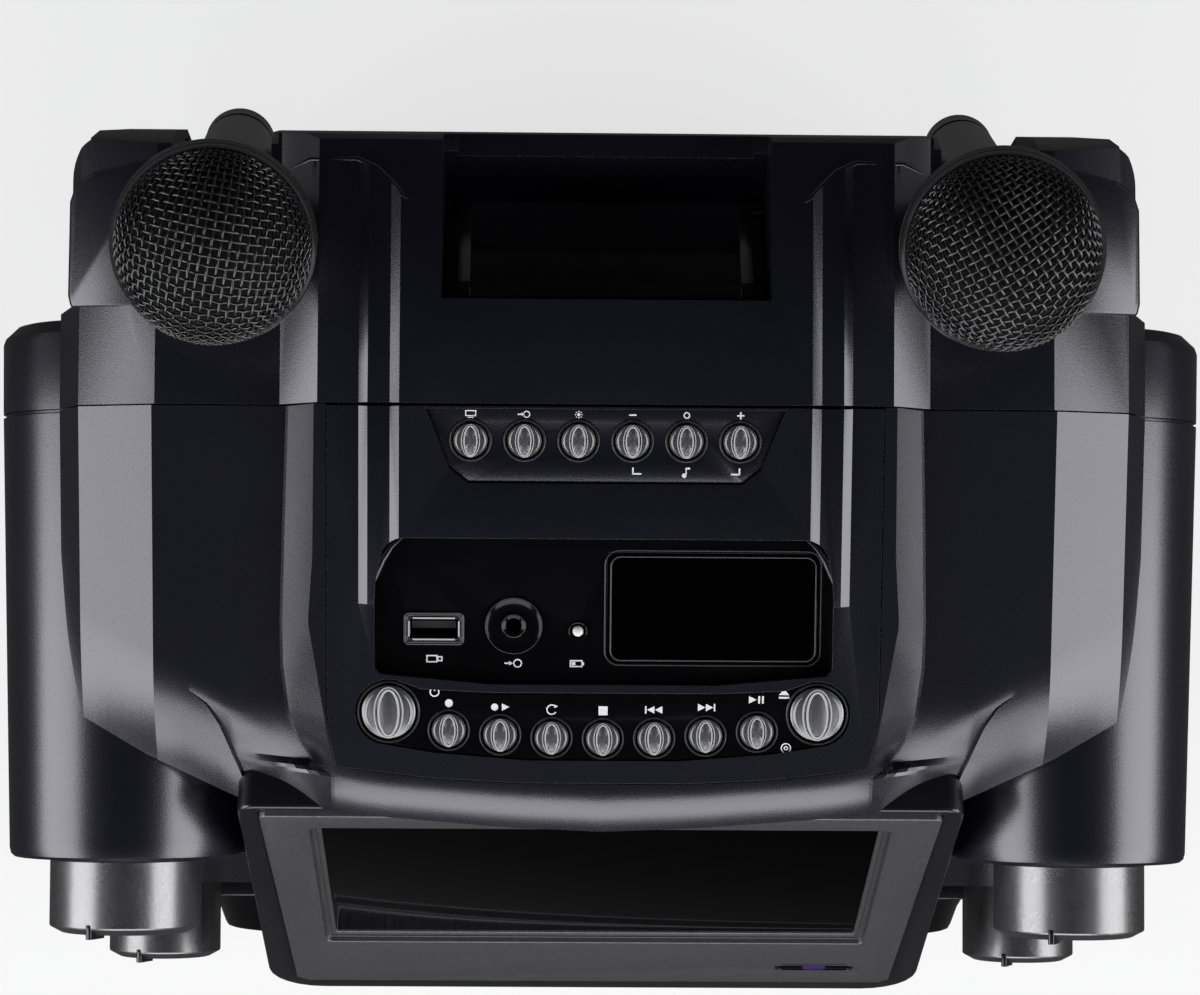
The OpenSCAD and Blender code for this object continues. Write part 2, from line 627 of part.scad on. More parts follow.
module screen_bezel() color([0.3, 0.3, 0.32]) screen_frame() difference() {
    translate([0, 0, -1.8]) linear_extrude(4.4) polygon(bezel_outline(0));
    translate([-win_w / 2, -win_h, -5]) cube([win_w, win_h, 20]);
    translate([0, 0, 0.6]) linear_extrude(5)
        polygon(round_rect(-win_w / 2 - 3, win_w / 2 + 3, -win_h - 3, 3, 2));
    translate([0, 0, 0.8]) linear_extrude(5) polygon(round_rect(66 - 11.2, 66 + 11.2, -111.2, -106.8, 2.1));
}

module lcd_panel() color([0.02, 0.02, 0.025]) screen_frame() translate([-win_w / 2 - 4, -win_h - 4, -8])
    cube([win_w + 8, win_h + 8, 6]);

module ir_window() color([0.2, 0.05, 0.25]) screen_frame() translate([0, 0, 0.85]) linear_extrude(1.9)
    polygon(round_rect(66 - 11, 66 + 11, -111, -107, 2));

// One tooth of the pinion or rack, tapered, with play on both flanks
module tooth(h) linear_extrude(h) polygon([[-gear_m, -0.8 * gear_m], [0.85 * gear_m, -0.35 * gear_m],
    [0.85 * gear_m, 0.35 * gear_m], [-gear_m, 0.8 * gear_m]]);

module disc_tray() color([0.08, 0.08, 0.09]) {
    difference() {
        translate([-tray_w / 2, -baffle_front + 3, tray_z]) cube([tray_w, tray_len, tray_t]);
        translate([0, disc_y, tray_z + tray_t - 2.2]) cylinder(r = disc_r, h = 5);
        translate([0, disc_y, tray_z + 0.8]) cylinder(r = 41, h = 5);
        translate([-25, disc_y - 25, tray_z - 1]) cube([50, tray_len, 10]);
    }
    for (i = [-3:floor((tray_len - 27) / (PI * gear_m))])
        translate([rack_x, pinion_y + i * PI * gear_m, tray_z - 3])
        rotate([0, 0, 180]) tooth(3 + eps);
    translate([rack_x + gear_m * 0.95, -baffle_front + 6, tray_z - 3]) cube([3, tray_len - 4, 3 + eps]);
}

module tray_front() color(body_c) difference() {
    along_y(-baffle_front - 4, -baffle_front + 2.9) polygon(round_rect(-tray_w / 2 - 3.6, tray_w / 2 + 3.6,
        tray_front_z[0], tray_front_z[1], 2));
    translate([-tray_w / 2 - 1, -baffle_front - 0.5, tray_front_z[0] + 2]) cube([tray_w + 2, 10, 3]);
}

module drive_chassis() color([0.5, 0.5, 0.52]) {
    difference() {
        translate([-chassis_half, chassis_y[0], chassis_z[0]])
            cube([2 * chassis_half, chassis_y[1] - chassis_y[0], chassis_z[1] - chassis_z[0]]);
        translate([sheet - chassis_half, chassis_y[0] - 5, chassis_z[0] + sheet])
            cube([2 * (chassis_half - sheet), chassis_y[1] - chassis_y[0] + 5 - sheet, 60]);
        for (s = [-1, 1]) translate([s * (chassis_half - 18) - 5, 60, chassis_z[0] - 8]) cube([10, 20, 20]);
        translate([-chassis_half - 5, chassis_y[0] - 5, tray_z + 8])
            cube([2 * chassis_half + 10, disc_y - bridge_w / 2 - chassis_y[0] + 5, 30]);
        translate([-chassis_half - 5, disc_y + bridge_w / 2, tray_z + 8])
            cube([2 * chassis_half + 10, 150, 30]);
    }
    for (s = [-1, 1]) translate([s * (chassis_half - sheet - 4.9) - 5, chassis_y[0] + 2, chassis_z[0] + 2])
        cube([10, chassis_y[1] - chassis_y[0] - 6, tray_z - chassis_z[0] - 2.3]);
    for (s = [-1, 1], y = [-52, 86]) translate([s * (chassis_half - 7), y, foot_h + base_t + 0.05])
        cylinder(r = 4, h = chassis_z[0] + 0.5 - foot_h - base_t);
    translate([sheet - 0.1 - chassis_half, disc_y - bridge_w / 2, chassis_z[1] - 4])
        cube([2 * (chassis_half - sheet) + 0.2, bridge_w, sheet]);
    translate([0, disc_y, tray_z + 10.5]) cylinder(r = 12, h = chassis_z[1] - tray_z - 14.4);
    for (s = [-1, 1]) {
        translate([s * 20, 66, 141.5]) rotate([90, 0, 0]) cylinder(r = 1.5, h = 76);
        for (y = [-14, 64]) translate([s * 20 - 3, y, 130]) cube([6, 5, 14]);
    }
    translate([0, disc_y, 130]) difference() {
        cylinder(r = 12, h = 13);
        translate([0, 0, 2]) cylinder(r = 1.5 + run_gap, h = 20);
    }
    translate([pinion_x, pinion_y, 130]) cylinder(r = 2, h = 17.5);
}

module spindle_turntable() color([0.2, 0.2, 0.2]) translate([0, disc_y, 0]) {
    translate([0, 0, 133]) cylinder(r = 1.5, h = 14);
    translate([0, 0, 145.5]) cylinder(r = 15, h = 2.5);
    translate([0, 0, 147.9]) cylinder(r1 = 7.4, r2 = 6.4, h = 3);
}

module tray_pinion() color([0.9, 0.9, 0.85]) translate([pinion_x, pinion_y, tray_z - 6]) difference() {
    union() {
        cylinder(r = pitch_r - gear_m * 0.95, h = 5.6);
        for (i = [0:pinion_n - 1]) rotate([0, 0, (i + 0.5) * 360 / pinion_n])
            translate([pitch_r, 0, 0]) tooth(5.6);
    }
    translate([0, 0, -1]) cylinder(r = 2 + run_gap, h = 10);
}

module laser_sled() color([0.3, 0.3, 0.3]) difference() {
    union() {
        translate([-24, -6, 138]) cube([48, 24, 7]);
        translate([0, -1, 144]) cylinder(r = 4, h = 3.2);
    }
    for (s = [-1, 1]) translate([s * 20, 60, 141.5]) rotate([90, 0, 0]) cylinder(r = 1.5 + run_gap, h = 90);
}

// Main circuit board with transformer, heat sink and capacitors
module main_board() {
    color([0.05, 0.25, 0.12]) translate([-100, 10, 30]) cube([180, 68, 1.6]);
    color([0.3, 0.3, 0.32]) for (x = [-92, 70], y = [16, 72])
        translate([x, y, foot_h + base_t + 0.05]) cylinder(r = 3, h = 15);
    color([0.25, 0.22, 0.2]) translate([-92, 30, 31.55]) cube([46, 40, 38]);
    color(metal_c) for (i = [0:5]) translate([-20 + i * 6, 24, 31.55]) cube([2, 50, 26]);
    color([0.1, 0.1, 0.3]) for (i = [0:3]) translate([28 + 13 * i, 50, 31.55]) cylinder(r = 5, h = 20);
}

// Fold-up cradle: two arms, a front lip, a ledge and two pins
module phone_cradle() color(gloss_c) {
    for (s = [-1, 1]) {
        along_x(s > 0 ? cradle_half - 3.2 : -cradle_half, s > 0 ? cradle_half : -cradle_half + 3.2)
            polygon([[well_y + 2, 316], [well_y + 2, 327], [well_y + 6, 327],
                cradle_pivot + [1.5, 3.5], cradle_pivot + [3, 0], cradle_pivot - [0, 3.4],
                cradle_pivot - [5, 3.4]]);
        translate([s * (cradle_half + 2), cradle_pivot[0], cradle_pivot[1]]) rotate([0, 90, 0])
            cylinder(r = 2, h = 7.4, center = true);
    }
    translate([-cradle_half + 3, well_y + 2, 316]) cube([2 * cradle_half - 6, 3.4, 10]);
    translate([-cradle_half + 3, well_y + 5, 316]) cube([2 * cradle_half - 6, 10, 2.6]);
}

// Head of a microphone: collar, domed wire basket and lower cone, hollow inside
module mic_head(s) color([0.06, 0.06, 0.065]) mic_frame(s) rotate_extrude() polygon(concat(
    [[0, 30.2]], [for (a = [85:-10:15]) [25 * cos(a), 5.4 + 25 * sin(a)]],
    [[25, 4], [collar_r, 3.4], [collar_r, -3.4], [24.6, -6], [grip_r + 1.2, -25.4], [grip_r - 2, -25.4],
    [22.5, -4], [23.2, 5]], [for (a = [15:10:85]) [23 * cos(a), 5.4 + 23 * sin(a)]], [[0, 28.3]]));

module mic_handle(s) color([0.12, 0.12, 0.125]) mic_frame(s) difference() {
    rotate_extrude() polygon([[0, -25.5], [grip_r, -25.5], [grip_r, -60], [tail_r, 3 - mic_len],
        [tail_r - 1, 0.5 - mic_len], [tail_r - 2, -mic_len], [6, -mic_len], [6, 9 - mic_len],
        [0, 9 - mic_len]]);
    translate([-3.2, 5, -76]) cube([6.4, 20, 18]);
}

// Sliding switch on the rear side of the handle
module mic_switch(s) color(metal_c) mic_frame(s) {
    translate([-2.9, 5.3, -68.5]) cube([5.8, 4.4, 10]);
    translate([-2, 9.6, -66.5]) cube([4, 2.9, 6]);
}

rear_top_cover();
front_top_cover();
center_panel();
cabinet();
base_plate();
rear_panel();
pod(-1);  // left_pod
pod(1);  // right_pod
front_baffle();
screen_housing();
screen_bezel();
lcd_panel();
ir_window();
speaker(-1);  // left_speaker
speaker(1);  // right_speaker
speaker_rings();
speaker_grilles();
disc_tray();
tray_front();
drive_chassis();
tray_pinion();
spindle_turntable();
laser_sled();
key_panel();
control_panel();
display_window();
transport_panel();
key_button(1);  // key_button_1
key_button(2);  // key_button_2
key_button(3);  // key_button_3
key_button(4);  // key_button_4
key_button(5);  // key_button_5
key_button(6);  // key_button_6
transport_button(1);  // transport_button_1
transport_button(2);  // transport_button_2
transport_button(3);  // transport_button_3
transport_button(4);  // transport_button_4
transport_button(5);  // transport_button_5
transport_button(6);  // transport_button_6
transport_button(7);  // transport_button_7
standby_button();
eject_button();
button_board();
main_board();
usb_port();
aux_jack();
left_upper_knob();
left_lower_knob();
right_upper_knob();
right_lower_knob();
knob_shafts();
phone_cradle();
mic_head(-1);  // left_mic_head
mic_handle(-1);  // left_mic_handle
mic_switch(-1);  // left_mic_switch
mic_head(1);  // right_mic_head
mic_handle(1);  // right_mic_handle
mic_switch(1);  // right_mic_switch
feet();
screws();
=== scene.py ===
"""Table-top karaoke machine with a disc tray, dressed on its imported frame.

Every length is in metres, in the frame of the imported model: +Z up, front towards -Y.
Each sub-assembly is a class that holds its own sizes, builds its pieces with Blender's
mesh operators and gives them their finish. main() builds them in order.
"""

import json
import logging
import math
from dataclasses import dataclass, field
from enum import Enum
from typing import Callable, ClassVar, Iterable, Optional, Sequence

import bpy
from mathutils import Matrix

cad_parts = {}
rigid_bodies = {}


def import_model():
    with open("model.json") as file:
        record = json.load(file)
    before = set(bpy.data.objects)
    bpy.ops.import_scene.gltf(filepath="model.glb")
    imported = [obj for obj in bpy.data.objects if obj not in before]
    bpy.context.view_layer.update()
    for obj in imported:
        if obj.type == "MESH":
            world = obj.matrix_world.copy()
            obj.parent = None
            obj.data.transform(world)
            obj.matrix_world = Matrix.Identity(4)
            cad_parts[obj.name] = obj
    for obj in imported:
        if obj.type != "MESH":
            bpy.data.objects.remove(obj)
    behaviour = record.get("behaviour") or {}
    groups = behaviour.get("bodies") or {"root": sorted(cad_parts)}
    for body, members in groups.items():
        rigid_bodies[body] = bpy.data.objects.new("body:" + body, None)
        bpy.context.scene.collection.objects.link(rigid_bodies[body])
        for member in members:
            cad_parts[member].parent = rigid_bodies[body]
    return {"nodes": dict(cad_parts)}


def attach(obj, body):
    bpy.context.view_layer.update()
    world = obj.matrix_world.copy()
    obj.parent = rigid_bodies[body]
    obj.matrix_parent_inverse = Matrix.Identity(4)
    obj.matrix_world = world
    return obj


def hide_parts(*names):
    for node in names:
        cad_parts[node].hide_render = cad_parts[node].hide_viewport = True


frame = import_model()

MM = 0.001
LOG = logging.getLogger("karaoke_machine")
Colour = tuple[float, float, float]
Point = Sequence[float]
Piece = bpy.types.Object


class Side(Enum):
    """The two sides of the machine, as seen from the front."""

    LEFT = -1
    RIGHT = 1

    @property
    def word(self) -> str:
        """Lower-case name, as in the names of nodes and bodies."""
        return self.name.lower()


# Shader building


def toned(colour: Colour, factor: float) -> Colour:
    """Colour made darker or lighter by a factor."""
    return tuple(factor * c for c in colour)


class Wire:
    """A shader socket that can stand in a Python expression."""

    def __init__(self, recipe: "Recipe", socket: bpy.types.NodeSocket) -> None:
        """Wraps a socket.

        Args:
            recipe: The recipe whose node tree owns the socket.
            socket: An output socket.
        """
        self.recipe = recipe
        self.socket = socket

    def _math(self, operation: str, first: object, second: object = 0.0) -> "Wire":
        """Adds a Math node.

        Args:
            operation: The Math node's operation.
            first: Value or wire of the first input.
            second: Value or wire of the second input.

        Returns:
            The node's result.
        """
        return self.recipe.node("ShaderNodeMath", {"operation": operation}, {0: first, 1: second})

    def __add__(self, other: object) -> "Wire":
        """Sum."""
        return self._math("ADD", self, other)

    __radd__ = __add__

    def __mul__(self, other: object) -> "Wire":
        """Product."""
        return self._math("MULTIPLY", self, other)

    __rmul__ = __mul__

    def over(self, low: float, high: float) -> "Wire":
        """Smooth step.

        Args:
            low: Value that gives 0.
            high: Value that gives 1.

        Returns:
            A smooth ramp between the two.
        """
        return self.recipe.node(
            "ShaderNodeMapRange",
            {"interpolation_type": "SMOOTHSTEP"},
            {"Value": self, "From Min": low, "From Max": high},
        )


class Recipe:
    """A node material in the making."""

    def __init__(self, name: str) -> None:
        """Starts an empty material.

        Args:
            name: Name of the material.
        """
        self.material = bpy.data.materials.new(name)
        self.material.use_nodes = True
        self.tree = self.material.node_tree
        self.tree.nodes.clear()

    def node(
        self, kind: str, settings: Optional[dict] = None, sockets: Optional[dict] = None, out: object = 0
    ) -> Wire:
        """Adds one node.

        Args:
            kind: Blender's name of the node type.
            settings: Attributes of the node.
            sockets: Values or wires of input sockets, by name or number.
            out: Name or number of the output that is returned.

        Returns:
            One of the node's outputs.
        """
        made = self.tree.nodes.new(kind)
        for key, value in (settings or {}).items():
            setattr(made, key, value)
        for key, value in (sockets or {}).items():
            if isinstance(value, Wire):
                self.tree.links.new(value.socket, made.inputs[key])
            else:
                made.inputs[key].default_value = value
        return Wire(self, made.outputs[out])

    def place(self) -> Wire:
        """Object coordinates."""
        return self.node("ShaderNodeTexCoord", out="Object")

    def stretched(self, scale: Point) -> Wire:
        """Object coordinates scaled by different amounts.

        Args:
            scale: Factor along X, Y and Z.

        Returns:
            The scaled coordinates.
        """
        return self.node("ShaderNodeMapping", sockets={"Vector": self.place(), "Scale": scale})

    def noise(self, scale: float, detail: float = 2.0, where: Optional[Wire] = None) -> Wire:
        """Noise from 0 to 1.

        Args:
            scale: Features per metre.
            detail: Octaves.
            where: Coordinates other than the Object ones.

        Returns:
            The noise value.
        """
        return self.node(
            "ShaderNodeTexNoise",
            sockets={"Vector": where or self.place(), "Scale": scale, "Detail": detail},
        )

    def cells(self, scale: float, out: str = "Distance") -> Wire:
        """Voronoi cells.

        Args:
            scale: Cells per metre.
            out: Output name.

        Returns:
            The distance or colour of the cells.
        """
        return self.node("ShaderNodeTexVoronoi", sockets={"Vector": self.place(), "Scale": scale}, out=out)

    def blend(self, amount: Wire, low: Colour, high: Colour) -> Wire:
        """Mix of two colours.

        Args:
            amount: 0 gives low, 1 gives high.
            low: First colour.
            high: Second colour.

        Returns:
            The mixed colour.
        """
        return self.node(
            "ShaderNodeMix",
            {"data_type": "RGBA"},
            {"Factor": amount, 6: (*low, 1.0), 7: (*high, 1.0)},
            2,
        )

    def bump(self, height: Wire, distance: float, strength: float = 1.0) -> Wire:
        """Bump normal.

        Args:
            height: Height from 0 to 1.
            distance: Depth of a full step in metres.
            strength: Strength of the bump.

        Returns:
            The bumped normal.
        """
        return self.node(
            "ShaderNodeBump",
            sockets={"Height": height, "Distance": distance, "Strength": strength},
            out="Normal",
        )

    def finish(self, **sockets: object) -> bpy.types.Material:
        """Ends the material with its shader.

        Args:
            **sockets: Inputs of the principled shader, with spaces written as underscores.

        Returns:
            The finished material.
        """
        inputs = {key.replace("_", " "): value for key, value in sockets.items()}
        return self.end(self.node("ShaderNodeBsdfPrincipled", sockets=inputs))

    def end(self, shader: Wire) -> bpy.types.Material:
        """Links a shader to the material's output.

        Args:
            shader: The shader.

        Returns:
            The finished material.
        """
        made = self.tree.nodes.new("ShaderNodeOutputMaterial")
        self.tree.links.new(shader.socket, made.inputs["Surface"])
        return self.material


@dataclass(frozen=True)
class MouldedPlastic:
    """Plastic from a spark-eroded mould: even colour, a fine grain and a soft sheen."""

    name: str
    colour: Colour
    roughness: float = 0.42
    grain: float = 2400.0
    depth: float = 0.00002
    coat: float = 0.0
    shine: float = 0.5
    tint: Colour = (1.0, 1.0, 1.0)

    def make(self) -> bpy.types.Material:
        """Builds the material."""
        recipe = Recipe(self.name)
        broad = recipe.noise(28.0, 3.0)
        grain = recipe.noise(self.grain, 2.0)
        rough = self.roughness - 0.04 + 0.03 * broad + 0.05 * grain
        shade = recipe.blend(broad, toned(self.colour, 0.82), toned(self.colour, 1.18))
        return recipe.finish(
            Base_Color=shade, Roughness=rough, Normal=recipe.bump(grain, self.depth), Coat_Weight=self.coat,
            Coat_Roughness=0.3, Specular_IOR_Level=self.shine, Specular_Tint=(*self.tint, 1.0),
        )


@dataclass(frozen=True)
class GlossPlastic:
    """Polished plastic with faint handling marks and hairline scuffs."""

    name: str
    colour: Colour
    roughness: float = 0.07
    marks: float = 0.08
    coat: float = 0.3
    shine: float = 0.5

    def make(self) -> bpy.types.Material:
        """Builds the material."""
        recipe = Recipe(self.name)
        smear = recipe.noise(35.0, 5.0, recipe.stretched((1.0, 2.2, 1.0))).over(0.45, 0.75)
        dust = recipe.cells(900.0).over(0.12, 0.02)
        rough = self.roughness + self.marks * smear + 0.1 * dust
        shade = recipe.blend(dust * 0.35, self.colour, tuple(c + 0.012 for c in self.colour))
        ripple = recipe.noise(160.0, 1.0)
        return recipe.finish(
            Base_Color=shade, Roughness=rough, Coat_Weight=self.coat, Coat_Roughness=0.04,
            Normal=recipe.bump(ripple, 0.000004), Specular_IOR_Level=self.shine,
        )


@dataclass(frozen=True)
class MetalPaint:
    """Sprayed metallic paint: small flakes under a satin lacquer."""

    name: str
    colour: Colour
    roughness: float = 0.32
    metallic: float = 0.75
    flake: float = 3800.0
    sparkle: float = 0.35
    coat: float = 0.15

    def make(self) -> bpy.types.Material:
        """Builds the material."""
        recipe = Recipe(self.name)
        flake = recipe.node(
            "ShaderNodeSeparateColor", sockets={0: recipe.cells(self.flake, out="Color")}, out="Red"
        )
        low, high = toned(self.colour, 1 - self.sparkle), toned(self.colour, 1 + self.sparkle)
        shade = recipe.blend(flake, low, high)
        rough = self.roughness - 0.05 + 0.1 * recipe.noise(60.0, 3.0)
        return recipe.finish(
            Base_Color=shade, Roughness=rough, Metallic=self.metallic, Coat_Weight=self.coat,
            Coat_Roughness=0.2, Normal=recipe.bump(flake, 0.000012),
        )


@dataclass(frozen=True)
class RolledMetal:
    """Bare or plated metal with fine lines along one axis."""

    name: str
    colour: Colour
    roughness: float = 0.3
    along: Point = (30.0, 900.0, 900.0)

    def make(self) -> bpy.types.Material:
        """Builds the material."""
        recipe = Recipe(self.name)
        lines = recipe.noise(1.0, 3.0, recipe.stretched(self.along))
        shade = recipe.blend(lines, toned(self.colour, 0.85), self.colour)
        return recipe.finish(
            Base_Color=shade, Roughness=self.roughness + 0.12 * lines, Metallic=1.0,
            Normal=recipe.bump(lines, 0.00001),
        )


@dataclass(frozen=True)
class Fibre:
    """Soft matt stuff such as pressed paper, foam or rubber."""

    name: str
    colour: Colour
    roughness: float = 0.8
    scale: float = 700.0
    depth: float = 0.00015

    def make(self) -> bpy.types.Material:
        """Builds the material."""
        recipe = Recipe(self.name)
        fibre = recipe.noise(self.scale, 4.0)
        shade = recipe.blend(fibre, toned(self.colour, 0.6), toned(self.colour, 1.4))
        return recipe.finish(
            Base_Color=shade, Roughness=self.roughness - 0.1 + 0.15 * fibre,
            Normal=recipe.bump(fibre, self.depth),
        )


@dataclass(frozen=True)
class PrintedMark:
    """Screen-printed ink with slightly uneven cover."""

    name: str
    colour: Colour
    roughness: float = 0.5

    def make(self) -> bpy.types.Material:
        """Builds the material."""
        recipe = Recipe(self.name)
        cover = recipe.noise(1500.0, 2.0)
        shade = recipe.blend(cover, toned(self.colour, 0.8), self.colour)
        return recipe.finish(Base_Color=shade, Roughness=self.roughness - 0.05 + 0.1 * cover)


@dataclass(frozen=True)
class CircuitBoard:
    """Green lacquered board with copper tracks showing through."""

    name: str
    colour: Colour = (0.012, 0.09, 0.03)

    def make(self) -> bpy.types.Material:
        """Builds the material."""
        recipe = Recipe(self.name)
        tracks = recipe.node(
            "ShaderNodeTexBrick",
            {"offset": 0.5},
            {"Vector": recipe.place(), "Scale": 120.0, "Mortar Size": 0.08, "Mortar Smooth": 0.3},
            "Fac",
        )
        shade = recipe.blend(tracks, self.colour, (0.05, 0.2, 0.06))
        return recipe.finish(
            Base_Color=shade, Roughness=0.3 + 0.1 * recipe.noise(300.0), Normal=recipe.bump(tracks, 0.00003)
        )


class Finishes:
    """The finishes of the machine, each made once."""

    def __init__(self) -> None:
        """Builds the materials."""
        made = [
            MouldedPlastic(
                "body_plastic", (0.0034, 0.0032, 0.0078), 0.275, 2600.0, 0.00002, 0.0, 1.0,
                (0.94, 0.92, 1.0)
            ),
            MouldedPlastic("inner_plastic", (0.012, 0.0115, 0.013), 0.5),
            GlossPlastic("gloss_plastic", (0.0025, 0.0025, 0.003), 0.12, 0.08, 0.0, 0.22),
            GlossPlastic("satin_housing", (0.007, 0.007, 0.0085), 0.24, 0.1, 0.1),
            GlossPlastic("screen_glass", (0.0006, 0.0006, 0.0008), 0.05, 0.02, 0.0, 0.06),
            GlossPlastic("ir_plastic", (0.035, 0.012, 0.10), 0.08, 0.03, 0.5),
            MetalPaint("bezel_paint", (0.10, 0.10, 0.108), 0.36, 0.6),
            MetalPaint("knob_metal", (0.19, 0.188, 0.195), 0.27, 0.9, 5200.0, 0.08, 0.0),
            MetalPaint("button_metal", (0.17, 0.17, 0.178), 0.3, 0.75, 5200.0, 0.12),
            MetalPaint("ring_metal", (0.075, 0.075, 0.08), 0.3, 0.6, 5200.0, 0.12),
            MetalPaint("grille_steel", (0.03, 0.03, 0.033), 0.4, 0.5, 3000.0, 0.2),
            MetalPaint("mesh_wire", (0.03, 0.03, 0.032), 0.16, 0.7, 6000.0, 0.2, 0.6),
            MetalPaint("mic_body", (0.02, 0.02, 0.022), 0.22, 0.4, 4000.0, 0.2, 0.5),
            RolledMetal("bright_steel", (0.55, 0.55, 0.56), 0.28),
            # Grey and pale finishes of thin wires laid along edges and crests: their lighter colour is
            # painted edge highlight. The pale one is also the own colour of the data socket's bright steel
            # shell.
            GlossPlastic("edge_grey", (0.035, 0.035, 0.038), 0.25, 0.05, 0.1),
            GlossPlastic("edge_light", (0.46, 0.46, 0.47), 0.3, 0.05, 0.2),
            Fibre("speaker_cone", (0.016, 0.016, 0.017), 0.75, 500.0),
            Fibre("foam", (0.005, 0.005, 0.005), 0.95, 1400.0, 0.0004),
            Fibre("foot_rubber", (0.013, 0.013, 0.013), 0.8, 900.0),
            MouldedPlastic("tray_plastic", (0.012, 0.012, 0.013), 0.5, 1600.0),
            MouldedPlastic("gear_plastic", (0.72, 0.70, 0.62), 0.45, 900.0),
            MouldedPlastic("lamp_lens", (0.62, 0.66, 0.64), 0.2, 500.0),
            PrintedMark("white_mark", (0.85, 0.85, 0.86)),
            CircuitBoard("circuit_board"),
        ]
        self.by_name = {finish.name: finish.make() for finish in made}

    def paint(self, obj: Piece, name: str) -> None:
        """Gives an object one finish all over.

        Args:
            obj: The object.
            name: Name of the finish.
        """
        obj.data.materials.clear()
        obj.data.materials.append(self.by_name[name])


# Modelling tools


class Bench:
    """Operator modelling with the selection kept in hand."""

    @staticmethod
    def clear() -> None:
        """Leaves edit mode and deselects everything."""
        if bpy.context.object and bpy.context.object.mode != "OBJECT":
            bpy.ops.object.mode_set(mode="OBJECT")
        for obj in bpy.context.view_layer.objects:
            obj.select_set(False)

    @staticmethod
    def hold(*objs: Piece) -> Piece:
        """Selects just these objects and makes the first active.

        Args:
            *objs: Objects to select.

        Returns:
            The active object.
        """
        Bench.clear()
        for obj in objs:
            obj.select_set(True)
        bpy.context.view_layer.objects.active = objs[0]
        return objs[0]

    @staticmethod
    def start(name: str, kind: str, **settings: object) -> Piece:
        """Adds a primitive at the origin of its own frame.

        Args:
            name: Name of the new object.
            kind: Primitive, such as "cube" or "cylinder".
            **settings: Settings of the primitive operator.

        Returns:
            The new object.
        """
        Bench.clear()
        getattr(bpy.ops.mesh, f"primitive_{kind}_add")(**settings)
        obj = bpy.context.object
        obj.name = name
        bpy.ops.object.transform_apply(location=True, rotation=True, scale=True)
        return obj

    @staticmethod
    def mesh(name: str, points: Iterable[Point], edges: Sequence = (), faces: Sequence = ()) -> Piece:
        """Makes an object from points.

        Args:
            name: Name of the new object.
            points: Its vertices.
            edges: Its loose edges.
            faces: Its faces.

        Returns:
            The new object.
        """
        data = bpy.data.meshes.new(name)
        data.from_pydata([tuple(p) for p in points], edges, faces)
        obj = bpy.data.objects.new(name, data)
        bpy.context.scene.collection.objects.link(obj)
        return Bench.hold(obj)

    @staticmethod
    def edit(obj: Piece, mode: str = "FACE") -> None:
        """Opens an object in edit mode with everything selected.

        Args:
            obj: The object.
            mode: "VERT", "EDGE" or "FACE".
        """
        Bench.hold(obj)
        bpy.ops.object.mode_set(mode="EDIT")
        bpy.ops.mesh.select_mode(type=mode)
        bpy.ops.mesh.select_all(action="SELECT")

    @staticmethod
    def done(obj: Piece) -> Piece:
        """Merges doubles, turns the faces outwards and leaves edit mode.

        Args:
            obj: The object in edit mode.

        Returns:
            The same object.
        """
        bpy.ops.mesh.select_all(action="SELECT")
        bpy.ops.mesh.remove_doubles(threshold=0.000005)
        bpy.ops.mesh.normals_make_consistent(inside=False)
        bpy.ops.object.mode_set(mode="OBJECT")
        return obj

    @staticmethod
    def modify(obj: Piece, kind: str, **settings: object) -> Piece:
        """Adds a modifier and applies it.

        Args:
            obj: The object.
            kind: Modifier type.
            **settings: Its settings.

        Returns:
            The same object.
        """
        Bench.hold(obj)
        modifier = obj.modifiers.new(kind.title(), kind)
        for key, value in settings.items():
            setattr(modifier, key, value)
        bpy.ops.object.modifier_apply(modifier=modifier.name)
        return obj

    @staticmethod
    def soften(obj: Piece, width: float, segments: int = 2, angle: float = 25.0) -> Piece:
        """Rounds the sharp edges and smooths the shading.

        Args:
            obj: The object.
            width: Width of the rounding.
            segments: Steps of the rounding.
            angle: Edges sharper than this many degrees are rounded.

        Returns:
            The same object.
        """
        Bench.modify(
            obj, "BEVEL", width=width, segments=segments, limit_method="ANGLE",
            angle_limit=math.radians(angle), harden_normals=False, use_clamp_overlap=True,
            miter_outer="MITER_ARC",
        )
        return Bench.smooth(obj, angle + 5)

    @staticmethod
    def smooth(obj: Piece, angle: float = 30.0) -> Piece:
        """Smooths the shading up to an angle in degrees."""
        Bench.hold(obj)
        bpy.ops.object.shade_smooth_by_angle(angle=math.radians(angle))
        return obj

    @staticmethod
    def put(obj: Piece, where: Matrix) -> Piece:
        """Moves the mesh itself, with the object left at the origin."""
        obj.data.transform(where)
        obj.data.update()
        return obj

    @staticmethod
    def twin(obj: Piece, name: str, where: Matrix = Matrix.Identity(4)) -> Piece:
        """Copies an object with its own mesh.

        Args:
            obj: The object to copy.
            name: Name of the copy.
            where: Move of the copy's mesh.

        Returns:
            The copy.
        """
        copy = obj.copy()
        copy.data = obj.data.copy()
        copy.name = name
        bpy.context.scene.collection.objects.link(copy)
        if where.determinant() < 0:
            copy.data.flip_normals()
        return Bench.put(copy, where)

    @staticmethod
    def join(name: str, objs: Sequence[Piece]) -> Piece:
        """Joins objects, with their materials kept.

        Args:
            name: Name of the result.
            objs: The objects.

        Returns:
            The joined object.
        """
        Bench.hold(*objs)
        if len(objs) > 1:
            bpy.ops.object.join()
        obj = bpy.context.object
        obj.name = name
        return obj

